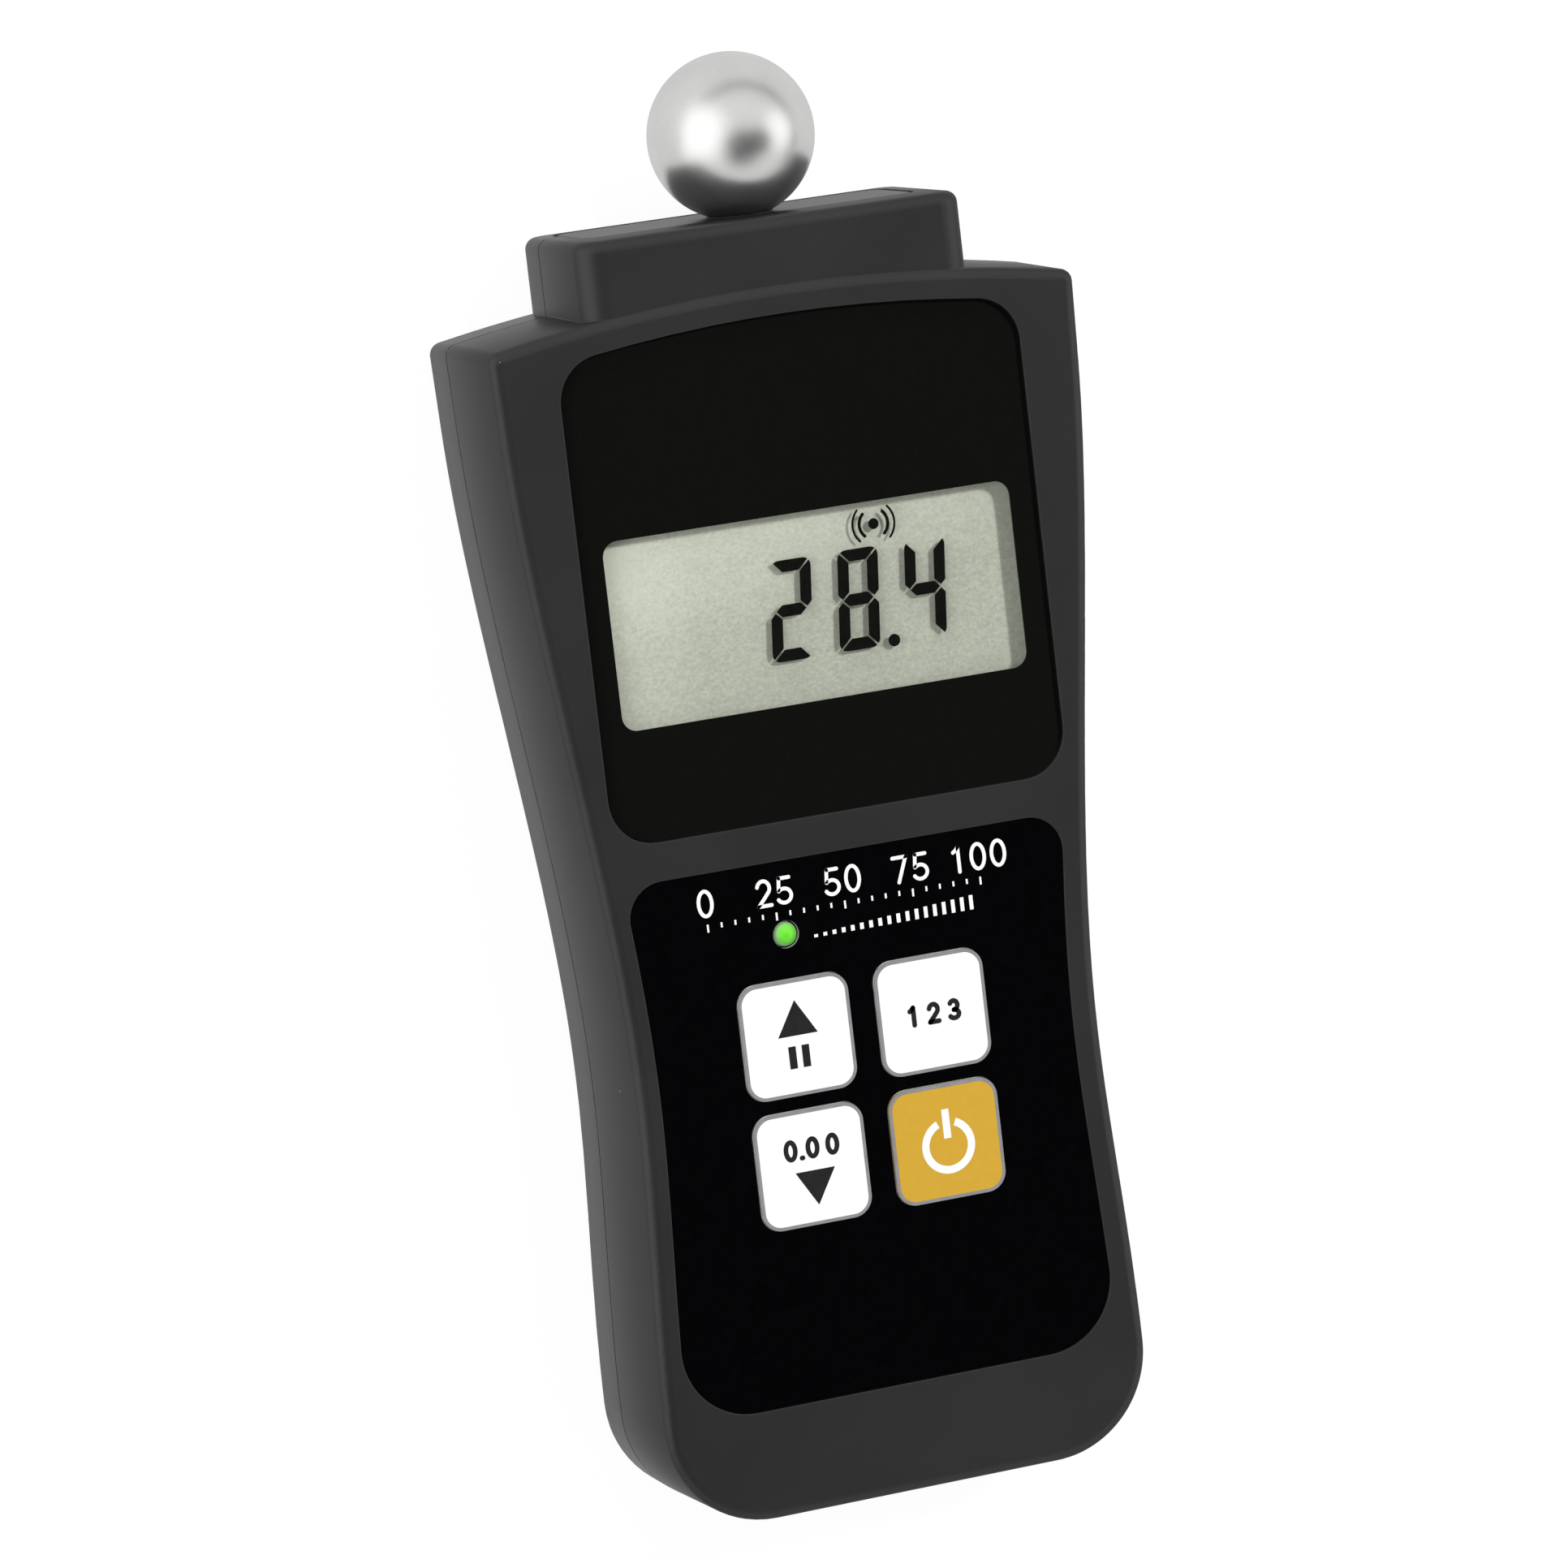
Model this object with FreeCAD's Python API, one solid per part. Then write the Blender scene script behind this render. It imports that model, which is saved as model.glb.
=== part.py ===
import FreeCAD, Part
import math
import os

# A hand-held material moisture meter with a ball electrode. Sizes are in millimetres.
# The meter lies on its back: +Z comes out of the display, +Y runs along the meter to the ball, and
# +X is to the right as seen from the front. Heights up the meter are counted from its bottom edge,
# and every piece is moved at the end so that the origin is under the middle of the whole meter.

# Housing outline, half widths and heights along the meter
hip_half_width = 31.35
corner_radius = 13.0
waist_half_width = 30.0
waist_height = 54.0
flare_half_width = 33.05
flare_height = 92.0
shoulder_half_width = 37.3
shoulder_height = 143.6
shoulder_run = 15.0
shoulder_run_taper = 0.5
shoulder_radius = 1.5
arch_rise = 3.4

# Housing walls, edges and ribs
rear_shell_depth = 8.0
side_wall = 2.0
front_wall = 2.4
rear_wall = 2.0
front_draft = 0.3
rear_draft = 0.1
front_rim_radius = 1.3
rear_rim_radius = 2.0
reveal_depth = 0.3
reveal_height = 0.2
lip_height = 1.2
rib_thickness = 1.2
rib_height = 2.6
cross_rib_count = 4
long_rib_x = 11.0
front_rib_x = 19.0
front_rib_height = 1.6
fit_gap = 0.1
overlap = 0.2
past = 1.0

# Neck that carries the sensor
neck_half_width = 24.3
neck_setback = 0.6
neck_height = 11.0
neck_corner_radius = 3.2
neck_top_radius = 1.4
neck_root_depth = 14.0

# Sensor end cap and ball electrode
cap_end_margin = 3.1
cap_front_margin = 6.6
cap_rear_margin = 2.4
cap_corner_radius = 2.8
cap_groove = 0.2
cap_edge_radius = 0.7
cap_flange_reach = 1.3
cap_flange_thickness = 1.4
cap_boss_diameter = 12.0
cap_boss_height = 2.2
ball_diameter = 20.0
spot_face_margin = 1.7
stud_diameter = 4.0
stud_depth_in_ball = 7.0
stud_bore_end_gap = 0.4
bush_flange_diameter = 8.0
bush_flange_thickness = 1.0
bush_proud = 0.1
bush_wall = 1.1
washer_diameter = 9.0
washer_thickness = 0.8
tag_thickness = 0.4
tag_ring_diameter = 8.0
tag_arm_half_width = 1.4
tag_reach = 7.0
nut_across_flats = 7.0
nut_height = 3.2
stud_tail = 1.2
lead_diameter = 1.1
lead_bend_radius = 2.2
sensor_lead_margin = 1.6

# Display lens, window and liquid crystal cell
lens_side_margin = 4.0
lens_top_margin = 2.8
lens_keypad_gap = 4.8
lens_arch_rise = 2.4
lens_corner_radius = 5.5
lens_thickness = 1.0
lens_setback = 0.2
mask_thickness = 0.2
window_side_margin = 3.15
window_height = 22.6
window_drop = 3.95
window_radius = 1.9
window_ledge = 1.6
cell_side_margin = 2.7
cell_end_margin = 3.7
cell_thickness = 2.6
cell_ledge = 2.4
frame_wall = 1.3
frame_lip_thickness = 0.4
frame_corner_radius = 1.2
strip_width = 2.2
strip_height = 2.3
strip_end_margin = 1.0

# Main circuit board, carried by posts of the front shell
board_thickness = 1.6
board_tub_gap = 5.8
board_end_gap = 1.2
board_step_below_flare = 4.0
board_side_gap = 0.9
board_lower_side_gap = 1.8
board_post_clearance = 0.5
board_post_diameter = 5.2
board_screw_diameter = 1.8
board_screw_head = 3.8
board_screw_head_height = 1.5
board_screw_hole_gap = 0.2
board_screw_tip_wall = 0.8
board_screw_slot_length = 2.4
board_screw_slot_width = 0.4
board_screw_slot_depth = 0.7
board_screw_inset = 3.4
board_screw_post_gap = 0.9
board_screw_low_margin = 4.0
board_screw_high_margin = 4.2

# Membrane keypad
keypad_bottom_margin = 0.7
keypad_side_margin = 3.45
keypad_shift = 0.4
keypad_top_margin = 8.8
keypad_top_radius = 4.4
keypad_corner_step = 4.2
keypad_layer_inset = 0.3
circuit_layer = 0.2
spacer_layer = 0.35
film_layer = 0.3
film_setback = 0.15
key_size = 14.0
key_radius = 2.4
key_gap = 0.12
key_plate = 0.35
key_edge_chamfer = 0.12
key_travel = 0.25
key_space_across = 3.4
key_space_along = 1.8
contact_diameter = 6.0
contact_opening = 9.0
tail_width = 10.0
tail_x = 9.0
tail_margin = 3.5
tail_slot_gap = 0.5
connector_wall = 1.2
connector_thickness = 3.6
connector_height = 4.0
connector_floor = 0.8

# Level lamp above the keys
lamp_x = -8.9
lamp_board_margin = 3.5
lamp_key_gap = 5.4
lamp_diameter = 3.0
lamp_flange = 3.8
lamp_flange_height = 1.0
lamp_proud = 0.6
lamp_body = 5.2
lamp_leg = 0.5
lamp_leg_spacing = 2.54

# Battery, its compartment and the sliding door
battery_width = 26.5
battery_depth = 17.5
battery_body = 45.6
battery_edge_radius = 2.2
terminal_height = 2.9
terminal_spacing = 12.7
socket_terminal = 8.6
stud_terminal = 5.8
terminal_root = 0.5
battery_clearance = 0.4
foam_thickness = 2.0
foam_side_margin = 2.0
foam_depth = 12.0
snap_thickness = 5.2
snap_depth = 12.4
snap_corner_radius = 2.0
tub_wall = 1.2
tub_bottom = 6.0
tub_front_wall = 1.2
tub_front_gap = 0.15
door_thickness = 2.0
door_setback = 0.15
door_side_gap = 0.15
door_lap = 1.8
door_end_step = 0.2
door_end_height = 6.4
rail_reach = 1.2
rail_thickness = 0.9
rail_backing = 1.5
rail_cover = 1.2
grip_count = 6
grip_width = 17.0
grip_pitch = 2.4
grip_depth = 0.5
grip_start = 9.0
grip_taper = 0.6

# Housing screws and their posts
screw_low_inset = 8.3
screw_low_height = 11.6
screw_high_inset = 6.7
screw_high_drop = 7.0
screw_post_diameter = 8.6
screw_boss_diameter = 6.6
screw_head_diameter = 5.6
screw_head_height = 2.2
screw_head_round = 0.8
screw_slot_length = 3.2
screw_slot_width = 0.7
screw_slot_depth = 1.1
screw_pocket_depth = 4.2
screw_diameter = 2.6
screw_length = 12.0
screw_tip_gap = 1.0
screw_gap = 0.2
gusset_reach = 6.0
gusset_drop = 2.0

# Parts soldered to the back of the main board
chip_x = -6.0
chip_width = 10.0
chip_length = 14.0
chip_height = 2.2
chip_leg_pitch = 1.8
chip_leg_count = 7
small_chip_x = 12.0
small_chip_width = 4.4
small_chip_length = 6.4
small_chip_height = 1.6
small_chip_leg_pitch = 1.5
small_chip_leg_count = 4
leg_reach = 1.1
leg_root = 0.2
leg_thickness = 0.45
chip_standoff = 0.15
crystal_x = 10.3
crystal_width = 4.6
crystal_length = 10.6
crystal_height = 3.4
crystal_end_radius = 2.2
can_edge_radius = 0.5
capacitor_diameter = 5.0
capacitor_height = 6.4
capacitor_x = 20.0
capacitor_pitch = 10.0
trimmer_size = 6.8
trimmer_height = 4.6
trimmer_pitch = 10.0
trimmer_x = -9.0
trimmer_screw_diameter = 3.4
trimmer_screw_height = 0.6
trimmer_slot = 0.6
trimmer_slot_depth = 0.4
low_parts_margin = 14.0
chip_row_gap = 3.6
shield_half_width = 12.0
shield_length = 15.0
shield_height = 4.4
shield_sheet = 0.4
shield_corner_radius = 0.8
shield_hole_diameter = 1.6
shield_hole_pitch = 5.0
shield_hole_columns = 4
shield_hole_rows = 2
buzzer_x = -19.5
buzzer_diameter = 12.0
buzzer_height = 6.5
buzzer_port_diameter = 2.4
buzzer_port_depth = 1.0

# Depths through the meter, from its back to its display
parting = rear_shell_depth
inner_rear = rear_wall
door_inner = door_setback + door_thickness
rail_floor = door_inner - rail_thickness
compartment_floor = door_inner + door_side_gap + rail_cover
battery_rear = door_inner + battery_clearance
battery_front = battery_rear + battery_depth
battery_level = (battery_rear + battery_front) / 2
tub_inner_front = battery_front + battery_clearance / 2
tub_outer_front = tub_inner_front + tub_front_wall
inner_front = tub_outer_front + tub_front_gap
front = inner_front + front_wall
middle = front / 2
neck_front = front - neck_setback
neck_rear = neck_setback
lens_front = front - lens_setback
lens_seat = lens_front - lens_thickness - mask_thickness
cell_front = inner_front - fit_gap - frame_lip_thickness
cell_rear = cell_front - fit_gap - cell_thickness
board_front = cell_rear - strip_height
board_rear = board_front - board_thickness
lead_level = board_rear - screw_pocket_depth
film_top = front - film_setback
spacer_top = film_top - film_layer
circuit_top = spacer_top - spacer_layer
keypad_floor = circuit_top - circuit_layer
key_underside = spacer_top + key_travel + fit_gap / 2
key_top = key_underside + key_plate

# Heights along the meter: compartment, board, lamp, keys, keypad, lens
battery_bottom = tub_bottom + foam_thickness + battery_clearance / 2
battery_end = battery_bottom + battery_body
battery_top = battery_end + terminal_height
snap_bottom = battery_end + battery_clearance / 2
snap_top = snap_bottom + snap_thickness
tub_top = snap_top + battery_clearance
tub_end = tub_top + tub_wall
board_bottom = tub_end + board_tub_gap
board_top = shoulder_height - side_wall - board_end_gap
board_step = flare_height - board_step_below_flare
board_screw_low = board_bottom + board_screw_low_margin
board_screw_high = board_top - board_screw_high_margin
lamp_height = board_bottom + lamp_board_margin
key_row_upper = lamp_height - lamp_key_gap - key_size / 2
key_row_lower = key_row_upper - key_size - key_space_along
keypad_bottom = corner_radius + keypad_bottom_margin
keypad_top = lamp_height + keypad_top_margin
tail_height = keypad_top - tail_margin
lens_bottom = keypad_top + lens_keypad_gap
lens_side_top = shoulder_height - lens_top_margin
window_centre = (lens_bottom + lens_side_top) / 2 - window_drop
low_parts_height = board_bottom + low_parts_margin + trimmer_size / 2
chip_centre = low_parts_height + trimmer_size / 2 + chip_row_gap + chip_length / 2
shield_centre = (chip_centre + chip_length / 2 + board_top) / 2
neck_top = shoulder_height + neck_height
cap_underside = neck_top - side_wall - cap_boss_height - fit_gap
tag_top = cap_underside - washer_thickness
nut_top = tag_top - tag_thickness
nut_bottom = nut_top - nut_height
ball_radius = ball_diameter / 2
stud_bore = stud_diameter + fit_gap
bush_diameter = stud_bore + 2 * bush_wall
spot_face_radius = stud_bore / 2 + spot_face_margin
ball_seat = neck_top + bush_proud
bush_seat = ball_seat - bush_flange_thickness
ball_centre = ball_seat + math.sqrt(ball_radius ** 2 - spot_face_radius ** 2)
overall_length = ball_centre + ball_radius

# Half widths across the meter, and places
lens_half_width = flare_half_width - lens_side_margin
window_half_width = lens_half_width - window_side_margin
cell_half_width = window_half_width + cell_side_margin
cell_half_height = window_height / 2 + cell_end_margin
frame_half_width = cell_half_width + frame_wall
frame_half_height = cell_half_height + frame_wall
board_half_width = flare_half_width - side_wall - board_side_gap
board_lower_half_width = waist_half_width - side_wall - board_lower_side_gap
screw_low_x = hip_half_width - screw_low_inset
screw_high_x = shoulder_half_width - screw_high_inset
screw_high_height = shoulder_height - screw_high_drop
board_screw_low_x = board_lower_half_width - board_screw_inset
board_screw_high_x = screw_high_x - (screw_post_diameter + board_post_diameter) / 2 - board_screw_post_gap
tub_half_width = battery_width / 2 + battery_clearance
door_half_width = tub_half_width + door_lap
rail_half_width = door_half_width + rail_reach
key_column = (key_size + key_space_across) / 2
terminal_columns = (-terminal_spacing / 2, terminal_spacing / 2)
post_places = [
    (side * x, height)
    for x, height in ((screw_low_x, screw_low_height), (screw_high_x, screw_high_height))
    for side in (-1, 1)
]
board_screw_places = [
    (side * x, height)
    for x, height in ((board_screw_low_x, board_screw_low), (board_screw_high_x, board_screw_high))
    for side in (-1, 1)
]
key_places = {
    "key_up": (-key_column - keypad_shift, key_row_upper),
    "key_select": (key_column - keypad_shift, key_row_upper),
    "key_down": (-key_column - keypad_shift, key_row_lower),
    "key_power": (key_column - keypad_shift, key_row_lower),
}


def point(x, y, z=0.0):
    return FreeCAD.Vector(x, y, z)


def block(x0, x1, y0, y1, z0, z1):
    return Part.makeBox(x1 - x0, y1 - y0, z1 - z0, point(x0, y0, z0))


def centred_block(half_width, y0, y1, z0, z1):
    return block(-half_width, half_width, y0, y1, z0, z1)


def block_about(x, y, width, length, z0, z1):
    """Block whose middle is at x, y."""
    return block(x - width / 2, x + width / 2, y - length / 2, y + length / 2, z0, z1)


def peg(x, y, z0, z1, diameter):
    return Part.makeCylinder(diameter / 2, z1 - z0, point(x, y, z0))


def rod(x, z, y0, y1, diameter):
    return Part.makeCylinder(diameter / 2, y1 - y0, point(x, y0, z), point(0, 1, 0))


def upright_edges(solid):
    """Straight edges that run along Z."""
    found = []
    for edge in solid.Edges:
        ends = [vertex.Point for vertex in edge.Vertexes]
        if len(ends) == 2 and abs(ends[0].x - ends[1].x) + abs(ends[0].y - ends[1].y) < 1e-4:
            found.append(edge)
    return found


def long_edges(solid, length):
    """Edges that run further than length along the meter."""
    return [edge for edge in solid.Edges if edge.BoundBox.YMax - edge.BoundBox.YMin > length]


def edges_at(solid, z):
    """Edges that lie wholly at one depth."""
    found = []
    for edge in solid.Edges:
        box = edge.BoundBox
        if abs(box.ZMin - z) < 1e-3 and abs(box.ZMax - z) < 1e-3:
            found.append(edge)
    return found


def rounded_block(x0, x1, y0, y1, z0, z1, radius):
    solid = block(x0, x1, y0, y1, z0, z1)
    return solid.makeFillet(radius, upright_edges(solid))


def join(first, others):
    return first.multiFuse(others).removeSplitter() if others else first


def side_curve(inset, z, side):
    """One side of the housing, from the lower corner over the waist and the flare to the shoulder."""
    stations = [
        (hip_half_width, corner_radius),
        (waist_half_width, waist_height),
        (flare_half_width, flare_height),
        (shoulder_half_width - shoulder_run_taper, shoulder_height - shoulder_run),
        (shoulder_half_width, shoulder_height),
    ]
    points = [point(side * (width - inset), height, z) for width, height in stations]
    points[-1].y = points[-1].y - inset
    slope = shoulder_run_taper / shoulder_run
    curve = Part.BSplineCurve()
    curve.interpolate(Points=points, InitialTangent=point(0, 1), FinalTangent=point(side * slope, 1))
    return curve.toShape()


def outline(inset, z):
    """Closed outline of the housing, moved inwards by inset."""
    centre_x = hip_half_width - corner_radius
    radius = corner_radius - inset
    slant = radius * math.sqrt(0.5)
    edges = [Part.makeLine(point(-centre_x, inset, z), point(centre_x, inset, z))]
    for side in (1, -1):
        low = point(side * centre_x, inset, z)
        mid = point(side * (centre_x + slant), corner_radius - slant, z)
        high = point(side * (centre_x + radius), corner_radius, z)
        edges.append(Part.Arc(low, mid, high).toShape())
        edges.append(side_curve(inset, z, side))
    shoulder = point(shoulder_half_width - inset, shoulder_height - inset, z)
    crown = point(0, shoulder_height + arch_rise - inset, z)
    edges.append(Part.Arc(shoulder, crown, point(-shoulder.x, shoulder.y, z)).toShape())
    return Part.Wire(Part.__sortEdges__(edges))


def drafted(inset_low, z_low, inset_high, z_high):
    """Solid between two outlines, for walls that lean as moulded ones do."""
    return Part.makeLoft([outline(inset_low, z_low), outline(inset_high, z_high)], True, True)


def straight(inset, z0, z1):
    return Part.Face(outline(inset, z0)).extrude(point(0, 0, z1 - z0))


def shoulder_edges(solid):
    """The two upright corner edges at the shoulders."""
    depth = solid.BoundBox.ZLength
    return [
        edge for edge in solid.Edges
        if edge.BoundBox.YMin > shoulder_height - shoulder_radius and edge.BoundBox.ZLength > depth / 2
    ]


def round_off(solid, choices):
    """Rounds several sets of edges in one operation, each set with its own radius."""
    document = FreeCAD.newDocument("rounding")
    source = document.addObject("Part::Feature", "source")
    source.Shape = solid
    fillet = document.addObject("Part::Fillet", "fillet")
    fillet.Base = source
    fillet.Edges = [
        (number, radius, radius)
        for number, edge in enumerate(solid.Edges, 1)
        for radius, chosen in choices
        if any(edge.isSame(other) for other in chosen)
    ]
    document.recompute()
    result = fillet.Shape.copy()
    FreeCAD.closeDocument(document.Name)
    return result


def housing_half(z_low, z_high, inset_far, rim_radius):
    """Outer form of one shell: zero inset at the parting plane, drafted to its far face."""
    solid = drafted(0.0, z_low, inset_far, z_high)
    return round_off(solid, [
        (shoulder_radius, shoulder_edges(solid)),
        (rim_radius, edges_at(solid, z_high)),
    ])


def neck_form(inset, z0, z1):
    """The neck as one rounded block, cut between two depths."""
    solid = block(
        inset - neck_half_width, neck_half_width - inset,
        shoulder_height - neck_root_depth, neck_top - inset,
        neck_rear + inset, neck_front - inset,
    )
    solid = solid.makeFillet(neck_corner_radius - inset, long_edges(solid, neck_height))
    if inset < neck_top_radius:
        rim = [edge for edge in solid.Edges if edge.BoundBox.YMin > neck_top - inset - 1e-3]
        solid = solid.makeFillet(neck_top_radius - inset, rim)
    return solid.common(centred_block(neck_half_width, 0, neck_top, z0, z1))


def cap_opening(gap, y0, y1):
    """Rounded outline of the end cap as seen along the meter."""
    half_x = neck_half_width - cap_end_margin + gap
    z0 = neck_rear + cap_rear_margin - gap
    z1 = neck_front - cap_front_margin + gap
    solid = centred_block(half_x, y0, y1, z0, z1)
    return solid.makeFillet(cap_corner_radius + gap, long_edges(solid, (y1 - y0) / 2))


def lens_form(gap, z0, z1):
    """Display lens outline: straight sides, arched top, rounded corners."""
    half = lens_half_width + gap
    low = lens_bottom - gap
    high = lens_side_top + gap
    crown = point(0, high + lens_arch_rise, z0)
    edges = [
        Part.makeLine(point(-half, low, z0), point(half, low, z0)),
        Part.makeLine(point(half, low, z0), point(half, high, z0)),
        Part.Arc(point(half, high, z0), crown, point(-half, high, z0)).toShape(),
        Part.makeLine(point(-half, high, z0), point(-half, low, z0)),
    ]
    solid = Part.Face(Part.Wire(edges)).extrude(point(0, 0, z1 - z0))
    return solid.makeFillet(lens_corner_radius + gap, upright_edges(solid))


def window_form(margin, z0, z1):
    half = window_half_width + margin
    tall = window_height / 2 + margin
    low = window_centre - tall
    high = window_centre + tall
    return rounded_block(-half, half, low, high, z0, z1, window_radius + margin)


def keypad_form(gap, z0, z1):
    """Keypad outline, a little to the left: the sides follow the waist, the corners are rounded."""
    low = keypad_bottom - gap
    high = keypad_top + gap
    band = centred_block(shoulder_half_width, low, high, z0, z1)
    solid = straight(keypad_side_margin - gap, z0, z1).common(band)
    solid.translate(point(-keypad_shift, 0))
    for height, radius in ((low, corner_radius - keypad_corner_step), (high, keypad_top_radius)):
        corners = [edge for edge in upright_edges(solid) if abs(edge.BoundBox.YMin - height) < 1e-3]
        solid = solid.makeFillet(radius, corners)
    return solid


def key_block(gap, z0, z1, place):
    half = key_size / 2 + gap
    x, y = place
    return rounded_block(x - half, x + half, y - half, y + half, z0, z1, key_radius + gap)


def lamp_hole(z0, z1):
    return peg(lamp_x, lamp_height, z0, z1, lamp_diameter + 4 * fit_gap)


def tail_slot():
    """Slot in the keypad recess that the ribbon tail passes through."""
    width = tail_width + 2 * tail_slot_gap
    length = circuit_layer + 2 * tail_slot_gap
    centre = tail_height + circuit_layer / 2
    return block_about(tail_x, centre, width, length, inner_front - past, front)


def parting_reveal():
    """Thin shadow line round the front shell and its neck where the two shells meet."""
    top = parting + reveal_height
    around = centred_block(shoulder_half_width + past, -past, neck_top + past, parting, top)
    return around.cut(straight(reveal_depth, parting, top)).cut(neck_form(reveal_depth, parting, top))


def lip_ring(outer, inner, z0, z1):
    """Ring that locates the rear shell inside the front one, left open across the neck."""
    ring = straight(outer, z0, z1).cut(straight(inner, z0, z1))
    return ring.cut(centred_block(neck_half_width, shoulder_height - neck_corner_radius, neck_top, z0, z1))


def front_posts():
    """Posts of the front shell: four for the housing screws and four for the board."""
    root = inner_front + overlap
    posts = [peg(x, y, parting, root, screw_boss_diameter) for x, y in post_places]
    posts += [peg(x, y, board_front, root, board_post_diameter) for x, y in board_screw_places]
    return posts


def front_ribs():
    """Webs from the upper screw posts to the side walls, and two ribs along the keypad wall."""
    root = inner_front + overlap
    within = straight(side_wall - overlap, parting, front)
    half = rib_thickness / 2
    ribs = []
    for x, y in post_places[2:]:
        x0, x1 = sorted((x, math.copysign(shoulder_half_width, x)))
        ribs.append(block(x0, x1, y - half, y + half, parting + screw_pocket_depth, root).common(within))
    for x in (-front_rib_x, front_rib_x):
        ribs.append(block(x - half, x + half, keypad_bottom, tub_end, inner_front - front_rib_height, root))
    return ribs


def front_shell():
    shell = housing_half(parting, front, front_draft, front_rim_radius)
    shell = shell.fuse(neck_form(0.0, parting, front))
    hollow = straight(side_wall, parting, inner_front)
    neck_hollow = neck_form(side_wall, parting, front)
    shell = shell.cut(hollow.fuse(neck_hollow)).removeSplitter()
    shell = join(shell, front_posts() + front_ribs())
    lip_outer = side_wall / 2 - fit_gap
    pockets = [
        lens_form(fit_gap, lens_seat, front + past),
        window_form(window_ledge, inner_front - past, front),
        keypad_form(fit_gap, keypad_floor, front + past),
        lamp_hole(inner_front - past, front),
        tail_slot(),
        cap_opening(cap_groove, shoulder_height, neck_top + past),
        parting_reveal(),
        lip_ring(lip_outer, side_wall + past, parting, parting + lip_height + fit_gap),
    ]
    for x, y in post_places:
        pockets.append(peg(x, y, parting - past, parting + screw_length, screw_diameter + fit_gap))
    bore_end = inner_front - board_screw_tip_wall
    for x, y in board_screw_places:
        pockets.append(peg(x, y, board_front - past, bore_end, board_screw_diameter + fit_gap))
    for pocket in pockets:
        shell = shell.cut(pocket)
    return shell


def door_cavity():
    """Space for the door: its face, its side rails and its upturned end."""
    wide = door_half_width + door_side_gap
    rails = rail_half_width + door_side_gap
    top = door_inner + door_side_gap
    far = tub_top + door_side_gap
    face = centred_block(wide, -past, far, -past, top)
    slot = centred_block(rails, -past, far, rail_floor - door_side_gap, top)
    end_depth = side_wall + door_end_step + door_side_gap
    end = centred_block(wide, -past, end_depth, -past, door_end_height + door_side_gap)
    return face.fuse(slot).fuse(end)


def rear_ribs():
    """Grid of low ribs between the compartment and the shoulders."""
    root = inner_rear - overlap
    top = inner_rear + rib_height
    pitch = (shoulder_height - tub_end) / (cross_rib_count + 1)
    ribs = []
    for index in range(cross_rib_count):
        height = tub_end + (index + 1) * pitch
        ribs.append(centred_block(shoulder_half_width, height, height + rib_thickness, root, top))
    for x in (-long_rib_x, long_rib_x):
        ribs.append(block(x - rib_thickness / 2, x + rib_thickness / 2, tub_end, shoulder_height, root, top))
    return ribs


def rear_posts():
    """Posts for the housing screws, each with a gusset along the meter."""
    root = inner_rear - overlap
    posts = []
    for x, y in post_places:
        posts.append(peg(x, y, root, parting, screw_post_diameter))
        posts.append(block_about(x, y, rib_thickness, 2 * gusset_reach, root, parting - gusset_drop))
    return posts


def compartment():
    """Thick surround for the door's rails, and the walls of the battery compartment."""
    beam = rail_half_width + door_side_gap + rail_backing
    tub = tub_half_width + tub_wall
    return [
        centred_block(beam, side_wall / 2, tub_end, inner_rear / 2, compartment_floor),
        centred_block(tub, tub_bottom - tub_wall, tub_end, compartment_floor - overlap, tub_outer_front),
    ]


def rear_shell():
    shell = housing_half(parting, 0.0, rear_draft, rear_rim_radius)
    shell = shell.fuse(neck_form(0.0, 0.0, parting))
    hollow = straight(side_wall + rear_draft, inner_rear, parting + past)
    neck_hollow = neck_form(side_wall, 0.0, parting)
    shell = shell.cut(hollow.fuse(neck_hollow)).removeSplitter()
    within = straight(side_wall - overlap, inner_rear / 2, front)
    additions = [solid.common(within) for solid in rear_posts() + rear_ribs() + compartment()]
    additions.append(lip_ring(
        side_wall / 2, side_wall + rear_draft + overlap, inner_rear + front_rim_radius, parting + lip_height
    ))
    shell = join(shell, additions)
    shell = shell.cut(centred_block(tub_half_width, tub_bottom, tub_top, -past, tub_inner_front))
    shell = shell.cut(door_cavity())
    shell = shell.cut(cap_opening(cap_groove, shoulder_height, neck_top + past))
    for x, y in post_places:
        shell = shell.cut(peg(x, y, -past, screw_pocket_depth, screw_head_diameter + 2 * screw_gap))
        shell = shell.cut(peg(x, y, 0.0, parting + past, screw_diameter + 2 * screw_gap))
    for x in terminal_columns:
        shell = shell.cut(rod(x, lead_level, tub_top - past, tub_end + past, lead_diameter + 6 * fit_gap))
    return shell


def battery_door():
    """Sliding door: face, side rails, upturned end and grip grooves that narrow like an arrow."""
    outer = housing_half(parting, 0.0, rear_draft, rear_rim_radius)
    face = centred_block(door_half_width, 0.0, tub_top, door_setback, door_inner)
    rails = centred_block(rail_half_width, side_wall, tub_top, rail_floor, door_inner)
    end = centred_block(door_half_width, 0.0, side_wall + door_end_step, door_setback, door_end_height)
    door = face.fuse(rails).fuse(end).removeSplitter().common(outer)
    for index in range(grip_count):
        low = grip_start + index * grip_pitch
        half = grip_width / 2 - index * grip_taper
        door = door.cut(centred_block(half, low, low + grip_pitch / 2, 0.0, door_setback + grip_depth))
    return door


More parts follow.
